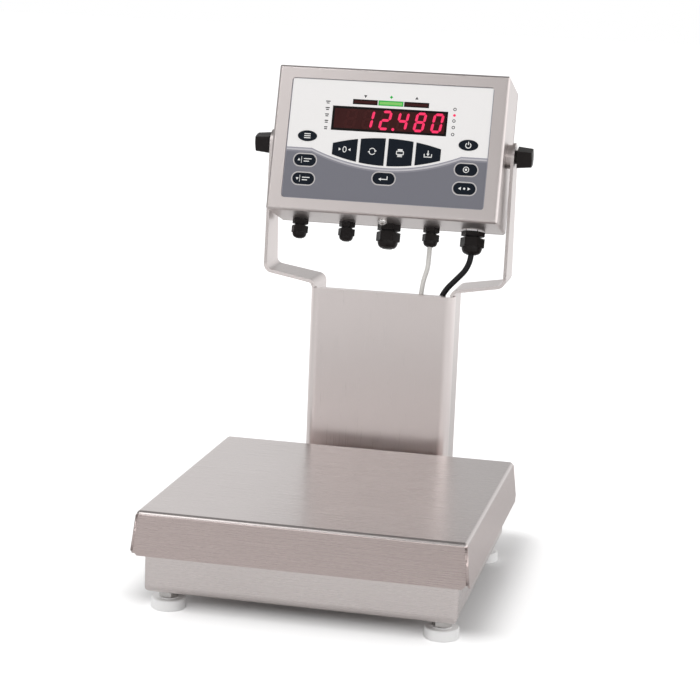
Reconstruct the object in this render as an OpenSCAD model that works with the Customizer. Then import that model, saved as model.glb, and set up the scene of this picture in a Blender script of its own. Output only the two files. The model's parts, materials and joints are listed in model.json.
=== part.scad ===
// Bench checkweigher: platter on a load cell base, column, yoke and tilting indicator.
// Millimetres, Z up, front towards -Y. The origin is on the floor under the middle of the machine.

/* [Platter] */
// Width of the platter across the front
platter_w = 305; // [280:1:340]
// Depth of the platter from front to back
platter_d = 305; // [280:1:340]
// Height of the weighing surface above the floor
platter_top = 98; // [95:1:110]
// Thickness of the platter sheet
platter_t = 2; // [1.5:0.1:2.5]
// Height of the turned-down skirt
skirt_h = 41; // [36:1:43]
// Outward lean of the skirt in degrees
skirt_flare = 6; // [2:0.5:8]
// Outside radius of the bend between platter and skirt
platter_bend_r = 4; // [3:0.5:5]
// Slant cut at the lower corners of the skirt
skirt_chamfer = 4; // [2:0.5:6]
// Diameter of the locating studs under the platter
locator_d = 6; // [5:0.5:7]

/* [Base tray] */
// Distance from the platter's edge to the tray's wall
tray_inset = 7; // [6:0.5:9]
// Height of the tray's underside above the floor
tray_bottom = 19; // [18.5:0.5:21]
// Height of the tray's walls
tray_h = 57; // [48:1:60]
// Thickness of the tray's sheet
tray_t = 2; // [1.5:0.1:2.5]
// Outside radius of the tray's bottom bend
tray_bend_r = 8; // [6:0.5:9]
// Outside radius of the tray's upright corners
tray_corner_r = 4; // [3.5:0.5:6]

/* [Levelling feet] */
// Diameter of a foot pad
foot_d = 33; // [28:0.5:36]
// Height of a foot pad
foot_h = 10; // [8:0.5:11]
// Distance from the tray's side to a foot's centre
foot_inset_x = 17; // [16:0.5:24]
// Distance from the tray's front or back to a foot's centre
foot_inset_y = 24; // [18:0.5:30]
// Diameter of a foot's stud
foot_stud_d = 10; // [8:0.5:11]
// Width across the flats of a foot's lock nut
foot_nut_af = 16; // [15:0.5:18]
// Height of a foot's lock nut
foot_nut_h = 8; // [6:0.5:8]
// Height of the tapped boss that a foot screws into
foot_boss_h = 14; // [12:0.5:18]

/* [Load cell] */
// Length of the load cell
cell_l = 150; // [140:1:160]
// Width of the load cell
cell_w = 40; // [34:1:44]
// Height of the load cell
cell_h = 30; // [26:0.5:33]
// Diameter of the two weakening bores
cell_bore_d = 20; // [16:0.5:22]
// Length of each clamped end
cell_end = 40; // [36:1:44]
// Height of the block under the fixed end
lower_block_h = 12; // [10:0.5:14]
// Height of the block on the live end
upper_block_h = 10; // [8:0.5:12]
// Diameter of the cell's bolts
cell_bolt_d = 8; // [6:0.5:9]
// Thickness of the spider plate
spider_t = 4; // [3:0.5:5]
// Width of a spider arm
spider_arm_w = 34; // [32:1:44]
// Distance from the platter's edge to a support post
post_inset = 52; // [46:1:58]
// Diameter of a support post
post_d = 24; // [20:1:28]
// Thickness of a rubber cushion
cushion_t = 3; // [2:0.5:4]
// Diameter of an overload stop
stop_d = 10; // [8:0.5:12]
// Gap between an overload stop and the spider
stop_gap = 0.8; // [0.6:0.1:1]

/* [Column and yoke] */
// Gap between the platter's rear edge and the column
column_gap = 32.5; // [28:0.5:40]
// Width of the column
column_w = 153; // [148:1:158]
// Height of the column's lower end above the floor
column_bottom = 24; // [22:0.5:26]
// Height of the column's top above the floor
column_top = 257; // [245:1:260]
// Thickness of the column cover
cover_t = 1.5; // [1:0.1:2]
// Outside radius of the cover's side bends
cover_r = 10; // [8:0.5:11]
// Length of the cover's side returns behind the bends
cover_return = 5; // [3:0.5:8]
// Depth of the cover's folded top edge
cover_hem = 10; // [8:0.5:11]
// Thickness of the yoke strip
yoke_t = 3.2; // [2.5:0.1:4]
// Depth of the yoke strip at the column's top
yoke_root_d = 56; // [50:0.5:60]
// Depth of the yoke strip at the foot of the arm
yoke_arm_d = 46; // [42:0.5:50]
// Radius of the arm's round end
yoke_end_r = 14.5; // [13.5:0.5:17]
// Upward slope of the yoke's shoulder in degrees
shoulder_slope = 9.6; // [6:0.2:12]
// Inside radius of the bend at the column
root_bend_r = 5; // [4:0.5:6]
// Inside radius of the bend at the foot of the arm
arm_bend_r = 6.5; // [5:0.5:8]
// Width of the bracket between tray and column
bracket_w = 110; // [100:1:120]
// Height of the bracket
bracket_h = 26; // [25:1:27]
// Wall of the bracket
bracket_t = 3; // [2.5:0.5:4]
// Height of the column crossbar
crossbar_h = 66; // [60:1:80]
// Depth of the crossbar's side flanges
crossbar_d = 44; // [36:1:50]
// Diameter of the bracket's bolts
bracket_bolt_d = 6; // [5:0.5:7]

/* [Indicator] */
// Width of the indicator
ind_w = 241; // [236:1:250]
// Height of the indicator along its face
ind_h = 152; // [148:1:160]
// Depth of the indicator
ind_d = 72; // [68:0.5:76]
// Backward lean of the indicator in degrees
ind_tilt = 16.4; // [10:0.2:22]
// Distance from the column's face back to the pivot
pivot_back = 29.5; // [28:0.5:32]
// Height of the pivot above the floor
pivot_z = 403.3; // [395:0.1:412]
// Gap between the indicator's side and a yoke arm
arm_gap = 5; // [3.5:0.5:6]
// Thickness of the indicator's sheet
shell_t = 1.5; // [1:0.1:2]
// Outside radius of the indicator's edges
shell_r = 3; // [2.5:0.5:4]
// Width of the flange around the open back
shell_flange = 12; // [11:0.5:14]
// Thickness of the rear cover
rear_t = 2; // [1.5:0.1:2.5]
// Thickness of the rear gasket
gasket_t = 1.5; // [1:0.1:2]
// Diameter of a rear cover screw
rear_screw_d = 4; // [3:0.5:4.5]
// Diameter of a pivot boss
boss_d = 25; // [22:0.5:26]
// Diameter of a knob's stud
stud_d = 8; // [6:0.5:9]

/* [Keypad] */
// Width of the indicator's frame on each side of the overlay
frame_side = 15; // [13.5:0.5:16.5]
// Height of the indicator's frame above and below the overlay
frame_end = 13; // [12:0.5:14]
// Corner radius of the overlay's opening
panel_r = 3.5; // [2:0.5:4]
// Depth of the recess that holds the overlay
recess = 2; // [1.8:0.1:2.4]
// Thickness of the overlay
overlay_t = 1.2; // [1:0.1:1.4]
// Width of the display window
window_w = 120.4; // [116:0.2:124]
// Height of the display window
window_h = 25.6; // [24:0.2:26]
// Height of the display window's centre above the panel's centre
window_y = 23; // [22:0.5:24]
// Width of the outer status windows
status_w = 26; // [24:0.5:26]
// Height of a status window
status_h = 5.4; // [4:0.2:6]
// Distance between the centres of the status windows
status_pitch = 26.8; // [26.8:0.1:28]
// Height of the status windows above the panel's centre
status_y = 41; // [40:0.5:42]
// Travel of a key
key_travel = 0.4; // [0.3:0.05:0.5]
// Height of a key above the overlay
key_proud = 0.4; // [0.3:0.05:0.5]
// Distance of the outer keys' middles from the overlay's sides
side_key_inset = 21.5; // [17.5:0.5:23.5]
// Length of an oval key
oval_w = 20; // [18:0.5:22]
// Height of an oval key
oval_h = 11; // [9:0.5:12]
// Length of a pill key
pill_w = 22.4; // [20:0.2:24]
// Height of a pill key
pill_h = 11.4; // [10:0.2:12]
// Width of a key in the arched row
arch_key_w = 25.6; // [24:0.2:26]
// Gap between keys in the arched row
arch_gap = 3.4; // [3:0.2:5]

/* [Glands and knobs] */
// Distance of the inner glands from the middle
gland_inner_x = 45; // [40:0.5:50]
// Distance of the left outer gland from the middle
gland_left_x = 95.5; // [92:0.5:97]
// Distance of the right outer gland from the middle
gland_right_x = 89; // [86:0.5:92]
// Distance of the glands behind the indicator's face
gland_back = 57; // [54:0.5:57.5]
// Width across the flats of a small gland
small_af = 15; // [14:0.5:16]
// Width across the flats of a large gland
large_af = 21.5; // [20:0.5:22]
// Length of a clamp knob
knob_l = 18; // [17:0.5:21]
// Width of a clamp knob at its inner end
knob_w = 18.2; // [17:0.2:20]
// Diameter of the knob's neck
neck_d = 14; // [12:0.5:16]
// Turn of the knobs about their axis in degrees
knob_turn = 29; // [0:1:45]
// Diameter of the domed service screw
service_d = 9.5; // [8:0.5:11]

/* [Cables] */
// Diameter of the load cell cable
cable_d = 5; // [4.5:0.1:5.4]
// Diameter of the power lead
lead_d = 6; // [5.5:0.1:6.4]
// Mean radius of the stored coil
coil_r = 33; // [30:0.5:36]
// Width of the stored coil's turns side by side
coil_w = 24; // [22:1:26]
// Height of the stored coil's layers
coil_h = 12; // [11:0.5:14]

/* [Hidden] */
$fn = 64;
// Clearance of a screw in a plain hole, all round
hole_gap = 0.2;
// Clearance of a thread or a moulded-in stud, all round
thread_gap = 0.05;
// Clearance of the keys and windows in the overlay, all round
panel_gap = 0.2;
// Clearance of a cable in what guides it, all round
cable_gap = 0.3;
// Running gap between a boss and its arm, and between a knob and its arm
clamp_gap = 0.1;
// Overshoot of a cut past the face it goes through
over = 1;

// Base heights, from the tray up to the platter
tray_w = platter_w - 2 * tray_inset;
tray_d = platter_d - 2 * tray_inset + 1;
tray_floor = tray_bottom + tray_t;
cell_z = tray_floor + lower_block_h;
cell_top = cell_z + cell_h;
spider_z = cell_top + upper_block_h;
post_z = spider_z + spider_t;
platter_under = platter_top - platter_t;
cushion_z = platter_under - cushion_t;
cell_bolt_x = [cell_l / 2 - cell_end * 0.72, cell_l / 2 - cell_end * 0.28];
cell_bolt_depth = 12;
cell_head_h = 5;
post_x = platter_w / 2 - post_inset;
post_y = platter_d / 2 - post_inset;
locator_l = 8;
bolt_af_ratio = 1.65;
stop_nut_h = 7;
stop_share = 0.78;
corner_gap = 0.5;
foot_x = tray_w / 2 - foot_inset_x;
foot_y = tray_d / 2 - foot_inset_y;
foot_hub_d = 18;
foot_seat_gap = 0.3;
foot_socket = 4;
foot_boss_d = 2 * (foot_inset_x - tray_bend_r) - 0.5;
grommet_wall = 4;
grommet_lip = 2.5;
grommet_rim = 2;

// Column, bracket and yoke
column_y = platter_d / 2 + column_gap;
tray_back = tray_d / 2;
bracket_d = column_y - tray_back;
bracket_z = tray_bottom + tray_bend_r + 1;
bracket_r = 6;
bracket_bolt_side = 15;
bracket_bolt_edge = 6.5;
bracket_bolt_x = bracket_w / 2 - bracket_bolt_side;
bracket_bolt_z = [bracket_z + bracket_bolt_edge, bracket_z + bracket_h - bracket_bolt_edge];
bolt_head_h = 4;
bolt_nut_h = 5;
bolt_end = 2;
leg_out = column_w / 2 - cover_t;
leg_in = leg_out - yoke_t;
leg_front = column_y + cover_r + 0.5;
pivot_y = column_y + pivot_back;
leg_back = pivot_y + yoke_root_d / 2;
arm_in = ind_w / 2 + arm_gap;
root_bend_x = leg_out + root_bend_r;
arm_bend_x = arm_in - arm_bend_r;
shoulder_l = (arm_bend_x + (arm_bend_r + yoke_t) * sin(shoulder_slope)
    - root_bend_x + root_bend_r * sin(shoulder_slope)) / cos(shoulder_slope);
arm_bend_z = column_top + (root_bend_r + arm_bend_r + yoke_t) * cos(shoulder_slope)
    + shoulder_l * sin(shoulder_slope);
yoke_step = 0.5;

// Indicator, measured from its pivot: y into the depth, z up along the face
panel_w = ind_w - 2 * frame_side;
panel_h = ind_h - 2 * frame_end;
side_key_x = panel_w / 2 - side_key_inset;
face_y = -ind_d / 2;
back_y = ind_d / 2;
cover_y = back_y - rear_t;
shell_d = ind_d - rear_t - gasket_t;
recess_y = face_y + recess;
floor_back_y = recess_y + shell_t;
overlay_y = recess_y - overlay_t;
key_t = key_proud + overlay_t - key_travel - 0.1;
key_y = overlay_y - key_proud;
board_t = 1.6;
display_y = floor_back_y + 7.5;
display_w = 150;
display_h = 64;
display_z = 27;
main_y = floor_back_y + 26;
main_w = 190;
main_h = 116;
standoff_d = 6;
display_post_x = display_w / 2 - 6;
display_post_z = display_h / 2 - 5;
main_post_x = main_w / 2 - 8;
main_post_z = main_h / 2 - 6;
supply_size = [90, 24, 48];
supply_z = 30;
rear_screw_x = ind_w / 2 - shell_flange / 2 - 0.5;
rear_screw_z = ind_h / 2 - shell_flange / 2 - 0.5;
rear_head_d = 8;
rear_head_h = 2.4;
rear_head_taper = 1;
rear_screw_l = 6;
flange_t = 2;

// Arched key row: both edges are arcs about the panel's middle line
arch_top_y = 4.4;
arch_top_r = 205;
arch_bottom_y = -24;
arch_bottom_r = 182;
oval_z = 2.5;
pill_upper_z = -22.8;
pill_lower_z = -42.3;
pill_middle_z = -37.2;

// Glands: place along the bottom, width across the flats and whether a cable leaves through it
gland_x = [-gland_left_x, -gland_inner_x, 0, gland_inner_x, gland_right_x];
gland_af = [small_af, small_af, large_af, small_af, large_af];
gland_cable = [0, 0, 0, cable_d, lead_d];
gland_y = face_y + gland_back;
bottom_z = -ind_h / 2;
gland_inside = 8;
gland_neck_h = 2.2;
gland_relief = 0.5;
service_y = face_y + 17;
hub_d = 14;
hub_inside = 10;
service_thread = 5;
stud_inside = 7;
knob_x = arm_in + yoke_t + clamp_gap;
neck_l = 2;
knob_bore = 10;
knob_dome_r = 60;
knob_taper = 0.86;

// The machine's middle from front to back, for the origin
skirt_run = (skirt_h - platter_bend_r * (1 - sin(skirt_flare))) / cos(skirt_flare);
skirt_out = platter_bend_r * (cos(skirt_flare) - 1) + skirt_run * sin(skirt_flare);
front_edge = -(platter_d / 2 + skirt_out);
head_edge = pivot_y + (back_y + rear_head_h) * cos(ind_tilt)
    + (rear_screw_z + rear_head_d / 2 - rear_head_taper) * sin(ind_tilt);
back_corner = pivot_y + back_y * cos(ind_tilt) + ind_h / 2 * sin(ind_tilt);
mid_y = (front_edge + max(head_edge, back_corner)) / 2;

// Where both cables run down behind the column, and where one enters the base
cable_x = 38;
lead_x = 56;
cable_y = column_y + 18;
cable_hole = [20, bracket_z + bracket_h / 2];
clip_low = 94;
clip_high = 49;
clip_z = [column_bottom + clip_low, column_top - clip_high];
clip_side = 7.5;
clip_d = 21;
clip_h = 9;

// Stored coil on the floor, with the plug beside it
coil_behind = 160;
coil_at = [0, column_y + coil_behind];
coil_edge = coil_r + (coil_w - lead_d) / 2;
plug_x = -coil_edge;
plug_w = 27;
plug_h = 20;
plug_l = 32;
relief_l = 24;
plug_lead = 16;
plug_back = coil_at[1] - plug_lead;
pin_l = 17;

// Shared shapes

// Rectangle centred on the origin with round corners
module round_rect(w, h, r) {
    square([w - 2 * r, h], center = true);
    square([w, h - 2 * r], center = true);
    for (x = [-1, 1], y = [-1, 1]) translate([x * (w / 2 - r), y * (h / 2 - r)]) circle(r);
}

// Rectangle standing on the X axis with its two lower corners round
module round_foot(w, h, r) {
    translate([-w / 2 + r, 0]) square([w - 2 * r, h]);
    translate([-w / 2, r]) square([w, h - r]);
    for (x = [-1, 1]) translate([x * (w / 2 - r), r]) intersection() {
        circle(r);
        translate([-r, -r]) square([2 * r, r + 0.1]);
    }
}

// Block that stands on z = 0 with round bottom edges and round upright corners
module pan_block(w, d, h, bend_r, corner_r) {
    intersection() {
        rotate([90, 0, 0]) linear_extrude(d, center = true) round_foot(w, h, bend_r);
        rotate([90, 0, 90]) linear_extrude(w, center = true) round_foot(d, h, bend_r);
        linear_extrude(h) round_rect(w, d, corner_r);
    }
}

// Hexagon prism standing on z = 0, sized across its flats
module hex(af, h) {
    cylinder(h = h, d = af / cos(30), $fn = 6);
}

// Part of a flat ring between two angles under 180 degrees apart
module ring_sector(r_in, r_out, from, to) {
    reach = 2 * r_out;
    mid = (from + to) / 2;
    intersection() {
        difference() {
            circle(r_out);
            circle(r_in);
        }
        polygon([
            [0, 0], reach * [cos(from), sin(from)], reach * 1.5 * [cos(mid), sin(mid)],
            reach * [cos(to), sin(to)]
        ]);
    }
}

// Places its children at the four corners of a rectangle
module at_corners(x, y) {
    for (sx = [-1, 1], sy = [-1, 1]) translate([sx * x, sy * y, 0]) children();
}

// Places its children in the indicator's own frame
module on_indicator() {
    translate([0, pivot_y, pivot_z]) rotate([-ind_tilt, 0, 0]) children();
}

// Extrudes a face outline into the indicator's depth, from y by t
module into_depth(y, t) {
    translate([0, y + t, 0]) rotate([90, 0, 0]) linear_extrude(t) children();
}

// Shifts the machine so that its middle stands over the origin
module seat() {
    translate([0, -mid_y, 0]) children();
}

// Round tube swept along a smooth curve through the given points
function spline(p, i, t) =
    let (
        a = p[max(i - 1, 0)], b = p[i], c = p[i + 1], d = p[min(i + 2, len(p) - 1)]
    )
    0.5 * (2 * b + (c - a) * t + (2 * a - 5 * b + 4 * c - d) * t * t
        + (3 * b - a - 3 * c + d) * t * t * t);
function smooth_path(p, steps) = [
    for (i = [0 : len(p) - 2], k = [0 : steps - 1]) spline(p, i, k / steps), p[len(p) - 1]
];
function unit(v) = v / norm(v);
function tangent(p, i) = unit(p[min(i + 1, len(p) - 1)] - p[max(i - 1, 0)]);
function square_to(u, t) = unit(u - (u * t) * t);
function carried(p, i, u) = square_to(i == 0 ? u : carried(p, i - 1, u), tangent(p, i));

module tube(p, d, sides, u) {
    n = len(p);
    rings = [
        for (i = [0 : n - 1])
            let (t = tangent(p, i), a = carried(p, i, u), b = cross(t, a))
            for (k = [0 : sides - 1])
                p[i] + d / 2 * (a * cos(360 * k / sides) + b * sin(360 * k / sides))
    ];
    walls = [
        for (i = [0 : n - 2], k = [0 : sides - 1])
            let (m = (k + 1) % sides)
            [i * sides + k, (i + 1) * sides + k, (i + 1) * sides + m, i * sides + m]
    ];
    ends = [
        [for (k = [0 : sides - 1]) k],
        [for (k = [sides - 1 : -1 : 0]) (n - 1) * sides + k]
    ];
    polyhedron(points = rings, faces = concat(walls, ends), convexity = 10);
}

// Base

module base_tray() {
    color("#BDB4B2") difference() {
        translate([0, 0, tray_bottom]) pan_block(tray_w, tray_d, tray_h, tray_bend_r, tray_corner_r);
        translate([0, 0, tray_floor])
            pan_block(tray_w - 2 * tray_t, tray_d - 2 * tray_t, tray_h, tray_bend_r - tray_t,
                tray_corner_r - tray_t);
        translate([0, 0, tray_bottom - over]) {
            at_corners(foot_x, foot_y) cylinder(h = tray_t + 2 * over, d = foot_stud_d + 2 * hole_gap);
            for (x = cell_bolt_x)
                translate([-x, 0, 0]) cylinder(h = tray_t + 2 * over, d = cell_bolt_d + 2 * hole_gap);
        }
        tray_wall_holes();
    }
}

// Bolt and cable holes through the tray's rear wall
module tray_wall_holes() {
    translate([0, tray_back + over, 0]) rotate([90, 0, 0]) {
        for (x = [-1, 1], z = bracket_bolt_z)
            translate([x * bracket_bolt_x, z, 0])
                cylinder(h = tray_t + 2 * over, d = bracket_bolt_d + 2 * hole_gap);
        translate([cable_hole[0], cable_hole[1], 0])
            cylinder(h = tray_t + 2 * over, d = cable_d + grommet_wall * 2);
    }
}

module foot_bosses() {
    color("#A9A5A3") translate([0, 0, tray_floor]) at_corners(foot_x, foot_y) difference() {
        cylinder(h = foot_boss_h, d = foot_boss_d);
        translate([0, 0, -over]) cylinder(h = foot_boss_h + 2 * over, d = foot_stud_d + 2 * thread_gap);
    }
}

module foot_lock_nuts() {
    color("#B7B3B1") translate([0, 0, tray_bottom - foot_nut_h]) at_corners(foot_x, foot_y) difference() {
        hex(foot_nut_af, foot_nut_h);
        translate([0, 0, -over]) cylinder(h = foot_nut_h + 2 * over, d = foot_stud_d + 2 * thread_gap);
    }
}

// One foot: nylon pad with a hub, moulded on its steel stud
module levelling_foot(sx, sy) {
    hub_top = tray_bottom - foot_nut_h - foot_seat_gap;
    edge = 0.8;
    color("#F2F2F0") translate([sx * foot_x, sy * foot_y, 0]) {
        rotate_extrude() polygon([
            [0, 0], [foot_d / 2 - edge, 0], [foot_d / 2, edge], [foot_d / 2 - 0.5, foot_h - edge],
            [foot_d / 2 - edge - 0.5, foot_h], [foot_hub_d / 2, foot_h],
            [foot_hub_d / 2, hub_top], [0, hub_top]
        ]);
        translate([0, 0, foot_socket])
            cylinder(h = tray_floor + foot_boss_h - foot_socket, d = foot_stud_d);
    }
}
module foot_front_left() { levelling_foot(-1, -1); }
module foot_front_right() { levelling_foot(1, -1); }
module foot_rear_left() { levelling_foot(-1, 1); }
module foot_rear_right() { levelling_foot(1, 1); }

// Load cell and what it carries

module load_cell() {
    waist = cell_bore_d * 0.55;
    color("#C9CBCE") difference() {
        translate([-cell_l / 2, -cell_w / 2, cell_z]) cube([cell_l, cell_w, cell_h]);
        translate([0, 0, cell_z + cell_h / 2]) rotate([90, 0, 0]) {
            for (x = [-1, 1])
                translate([x * cell_bore_d * 0.75, 0, 0])
                    cylinder(h = cell_w + 2 * over, d = cell_bore_d, center = true);
            cube([cell_bore_d * 1.5, waist, cell_w + 2 * over], center = true);
        }
        for (x = cell_bolt_x) {
            translate([-x, 0, cell_z - over])
                cylinder(h = cell_bolt_depth + 1 + over, d = cell_bolt_d + 2 * thread_gap);
            translate([x, 0, cell_top - cell_bolt_depth - 1])
                cylinder(h = cell_bolt_depth + 1 + over, d = cell_bolt_d + 2 * thread_gap);
        }
    }
}

// Block between the cell's end and what it is bolted to
module cell_block(side, h) {
    difference() {
        translate([side > 0 ? cell_l / 2 - cell_end : -cell_l / 2, -cell_w / 2, 0])
            cube([cell_end, cell_w, h]);
        for (x = cell_bolt_x)
            translate([side * x, 0, -over]) cylinder(h = h + 2 * over, d = cell_bolt_d + 2 * hole_gap);
    }
}
module cell_lower_block() {
    color("#9C9C9E") translate([0, 0, tray_floor]) cell_block(-1, lower_block_h);
}
module cell_upper_block() {
    color("#9C9C9E") translate([0, 0, cell_top]) cell_block(1, upper_block_h);
}

module cell_lower_bolts() {
    color("#8E8C8B") for (x = cell_bolt_x) translate([-x, 0, tray_bottom]) {
        translate([0, 0, -cell_head_h]) hex(cell_bolt_d * bolt_af_ratio, cell_head_h);
        cylinder(h = tray_t + lower_block_h + cell_bolt_depth, d = cell_bolt_d);
    }
}
module cell_upper_bolts() {
    color("#8E8C8B") for (x = cell_bolt_x) translate([x, 0, post_z]) {
        hex(cell_bolt_d * bolt_af_ratio, cell_head_h);
        translate([0, 0, -spider_t - upper_block_h - cell_bolt_depth])
            cylinder(h = spider_t + upper_block_h + cell_bolt_depth, d = cell_bolt_d);
    }
}

module overload_stops() {
    stop_h = spider_z - stop_gap - tray_floor;
    color("#9A9694") translate([0, 0, tray_floor]) at_corners(post_x * stop_share, post_y * stop_share) {
        hex(stop_d * bolt_af_ratio, stop_nut_h);
        cylinder(h = stop_h, d = stop_d);
    }
}

// Crossed arms with a post at each end, bolted on the live end of the cell
module spider() {
    reach = norm([post_x, post_y]);
    angle = atan2(post_y, post_x);
    color("#A8A3A1") difference() {
        union() {
            translate([0, 0, spider_z]) linear_extrude(spider_t) {
                for (a = [angle, -angle]) rotate(a) square([2 * reach, spider_arm_w], center = true);
                translate([0, -cell_w / 2]) square([cell_l / 2 + 3, cell_w]);
                at_corners(post_x, post_y) circle(d = spider_arm_w + 4);
            }
            at_corners(post_x, post_y) translate([0, 0, spider_z + spider_t / 2])
                cylinder(h = cushion_z - spider_z - spider_t / 2, d = post_d);
        }
        for (x = cell_bolt_x)
            translate([x, 0, spider_z - over])
                cylinder(h = spider_t + 2 * over, d = cell_bolt_d + 2 * hole_gap);
        at_corners(post_x, post_y) translate([0, 0, platter_under - locator_l - 1])
            cylinder(h = locator_l + over, d = locator_d + 1);
    }
}

module platter_cushions() {
    color("#2A2A2C") at_corners(post_x, post_y) translate([0, 0, cushion_z]) difference() {
        cylinder(h = cushion_t, d = post_d + 4);
        translate([0, 0, -over]) cylinder(h = cushion_t + 2 * over, d = locator_d + 1);
    }
}

// One side of the platter: a bend and a leaning skirt that widens downwards, so the corners stay narrow
module skirt(length) {
    r_in = platter_bend_r - platter_t;
    top = length / 2 + r_in * cos(skirt_flare) - corner_gap;
    cut = top + (skirt_run - skirt_chamfer) * sin(skirt_flare);
    translate([0, -platter_bend_r, platter_top - platter_bend_r]) rotate([90, 0, 90])
        rotate([0, 0, skirt_flare]) {
            rotate_extrude(angle = 90 - skirt_flare)
                translate([r_in, corner_gap - length / 2]) square([platter_t, length - 2 * corner_gap]);
            translate([r_in, 0, 0]) rotate([0, 90, 0]) linear_extrude(platter_t) polygon([
                [-top, 0], [top, 0], [cut, -skirt_run + skirt_chamfer], [cut - skirt_chamfer, -skirt_run],
                [skirt_chamfer - cut, -skirt_run], [-cut, -skirt_run + skirt_chamfer]
            ]);
        }
}

module platter() {
    flat_w = platter_w - 2 * platter_bend_r;
    flat_d = platter_d - 2 * platter_bend_r;
    color("#C6BDBB") {
        translate([-flat_w / 2, -flat_d / 2, platter_under]) cube([flat_w, flat_d, platter_t]);
        for (a = [0, 180]) rotate([0, 0, a]) {
            translate([0, platter_d / 2, 0]) skirt(flat_w);
            rotate([0, 0, 90]) translate([0, platter_w / 2, 0]) skirt(flat_d);
        }
        at_corners(post_x, post_y) translate([0, 0, platter_under - locator_l])
            cylinder(h = locator_l, d = locator_d);
    }
}

module cable_grommet() {
    lip_d = cable_d + 2 * grommet_wall + 2 * grommet_lip;
    neck = cable_d + 2 * grommet_wall - 2 * thread_gap;
    length = tray_t + 2 * grommet_rim;
    color("#1E1E20") translate([cable_hole[0], tray_back + grommet_rim, cable_hole[1]]) rotate([90, 0, 0])
        difference() {
            union() {
                cylinder(h = grommet_rim, d = lip_d);
                cylinder(h = length, d = neck);
                translate([0, 0, length - grommet_rim]) cylinder(h = grommet_rim, d = lip_d);
            }
            translate([0, 0, -over]) cylinder(h = length + 2 * over, d = cable_d + 2 * cable_gap);
        }
}

// Column

// Cuts for the bracket's bolts and the cable, along Y from y over a length
module bracket_cuts(y, length) {
    translate([0, y + length, 0]) rotate([90, 0, 0]) {
        for (x = [-1, 1], z = bracket_bolt_z) translate([x * bracket_bolt_x, z, 0])
            cylinder(h = length, d = bracket_bolt_d + 2 * hole_gap);
        translate([cable_hole[0], cable_hole[1], 0])
            cylinder(h = length, d = cable_d + 2 * (grommet_wall + grommet_lip + 1));
    }
}

module column_bracket() {
    color("#B4ABA9") difference() {
        translate([0, tray_back + bracket_d / 2, bracket_z]) linear_extrude(bracket_h) difference() {
            round_rect(bracket_w, bracket_d, bracket_r);
            round_rect(bracket_w - 2 * bracket_t, bracket_d - 2 * bracket_t, bracket_r - bracket_t);
        }
        bracket_cuts(tray_back - over, bracket_d + 2 * over);
    }
}

// Bolt along Y: head at y, shank towards dir, nut against a stack of the given thickness
module stack_bolt(y, dir, stack) {
    translate([0, y, 0]) rotate([dir > 0 ? -90 : 90, 0, 0]) {
        translate([0, 0, -bolt_head_h]) hex(bracket_bolt_d * bolt_af_ratio, bolt_head_h);
        cylinder(h = stack + bolt_nut_h + bolt_end, d = bracket_bolt_d);
        translate([0, 0, stack]) difference() {
            hex(bracket_bolt_d * bolt_af_ratio, bolt_nut_h);
            translate([0, 0, -over])
                cylinder(h = bolt_nut_h + 2 * over, d = bracket_bolt_d + 2 * thread_gap);
        }
    }
}
module bracket_bolts() {
    color("#8E8C8B") for (x = [-1, 1], z = bracket_bolt_z) translate([x * bracket_bolt_x, 0, z]) {
        stack_bolt(tray_back - tray_t, 1, tray_t + bracket_t);
        stack_bolt(column_y + cover_t + yoke_t, -1, yoke_t + cover_t + bracket_t);
    }
}

module column_crossbar() {
    outer_w = 2 * leg_in;
    color("#ABA3A1") difference() {
        translate([0, column_y + cover_t, column_bottom]) linear_extrude(crossbar_h) difference() {
            round_foot(outer_w, crossbar_d, cover_r);
            translate([0, yoke_t]) round_foot(outer_w - 2 * yoke_t, crossbar_d, cover_r - yoke_t);
        }
        bracket_cuts(column_y, cover_t + yoke_t + over);
    }
}

module column_cover() {
    depth = cover_r + cover_return;
    height = column_top - column_bottom;
    hem_w = column_w - 2 * cover_r;
    color("#C5BDBB") difference() {
        translate([0, column_y, column_bottom]) {
            linear_extrude(height) difference() {
                round_foot(column_w, depth, cover_r);
                translate([0, cover_t]) round_foot(column_w - 2 * cover_t, depth + over, cover_r - cover_t);
            }
            translate([-hem_w / 2, 0, height - cover_t]) cube([hem_w, cover_hem, cover_t]);
        }
        bracket_cuts(column_y - over, cover_t + 2 * over);
    }
}

// Strip seen from the front: leg, bend, shoulder, bend and arm
module yoke_front_outline() {
    shoulder_x = root_bend_x - root_bend_r * sin(shoulder_slope);
    shoulder_z = column_top + root_bend_r * cos(shoulder_slope);
    translate([leg_in, column_bottom]) square([yoke_t, column_top - column_bottom]);
    translate([root_bend_x, column_top])
        ring_sector(root_bend_r, root_bend_r + yoke_t, 90 + shoulder_slope, 180);
    translate([shoulder_x, shoulder_z]) rotate(shoulder_slope) square([shoulder_l, yoke_t]);
    translate([arm_bend_x, arm_bend_z])
        ring_sector(arm_bend_r, arm_bend_r + yoke_t, -90 + shoulder_slope, 0);
    translate([arm_in, arm_bend_z]) square([yoke_t, pivot_z + yoke_end_r - arm_bend_z]);
}

// Strip seen from the side: narrow leg behind the cover, then a taper up to the round end
module yoke_side_outline() {
    step_z = column_top + yoke_step;
    polygon([
        [leg_front, column_bottom], [leg_back, column_bottom], [leg_back, column_top],
        [pivot_y + yoke_arm_d / 2, arm_bend_z], [pivot_y + yoke_end_r, pivot_z],
        [pivot_y - yoke_end_r, pivot_z], [pivot_y - yoke_arm_d / 2, arm_bend_z],
        [pivot_y - yoke_root_d / 2, step_z], [leg_front, step_z]
    ]);
    translate([pivot_y, pivot_z]) circle(yoke_end_r);
}

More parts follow.
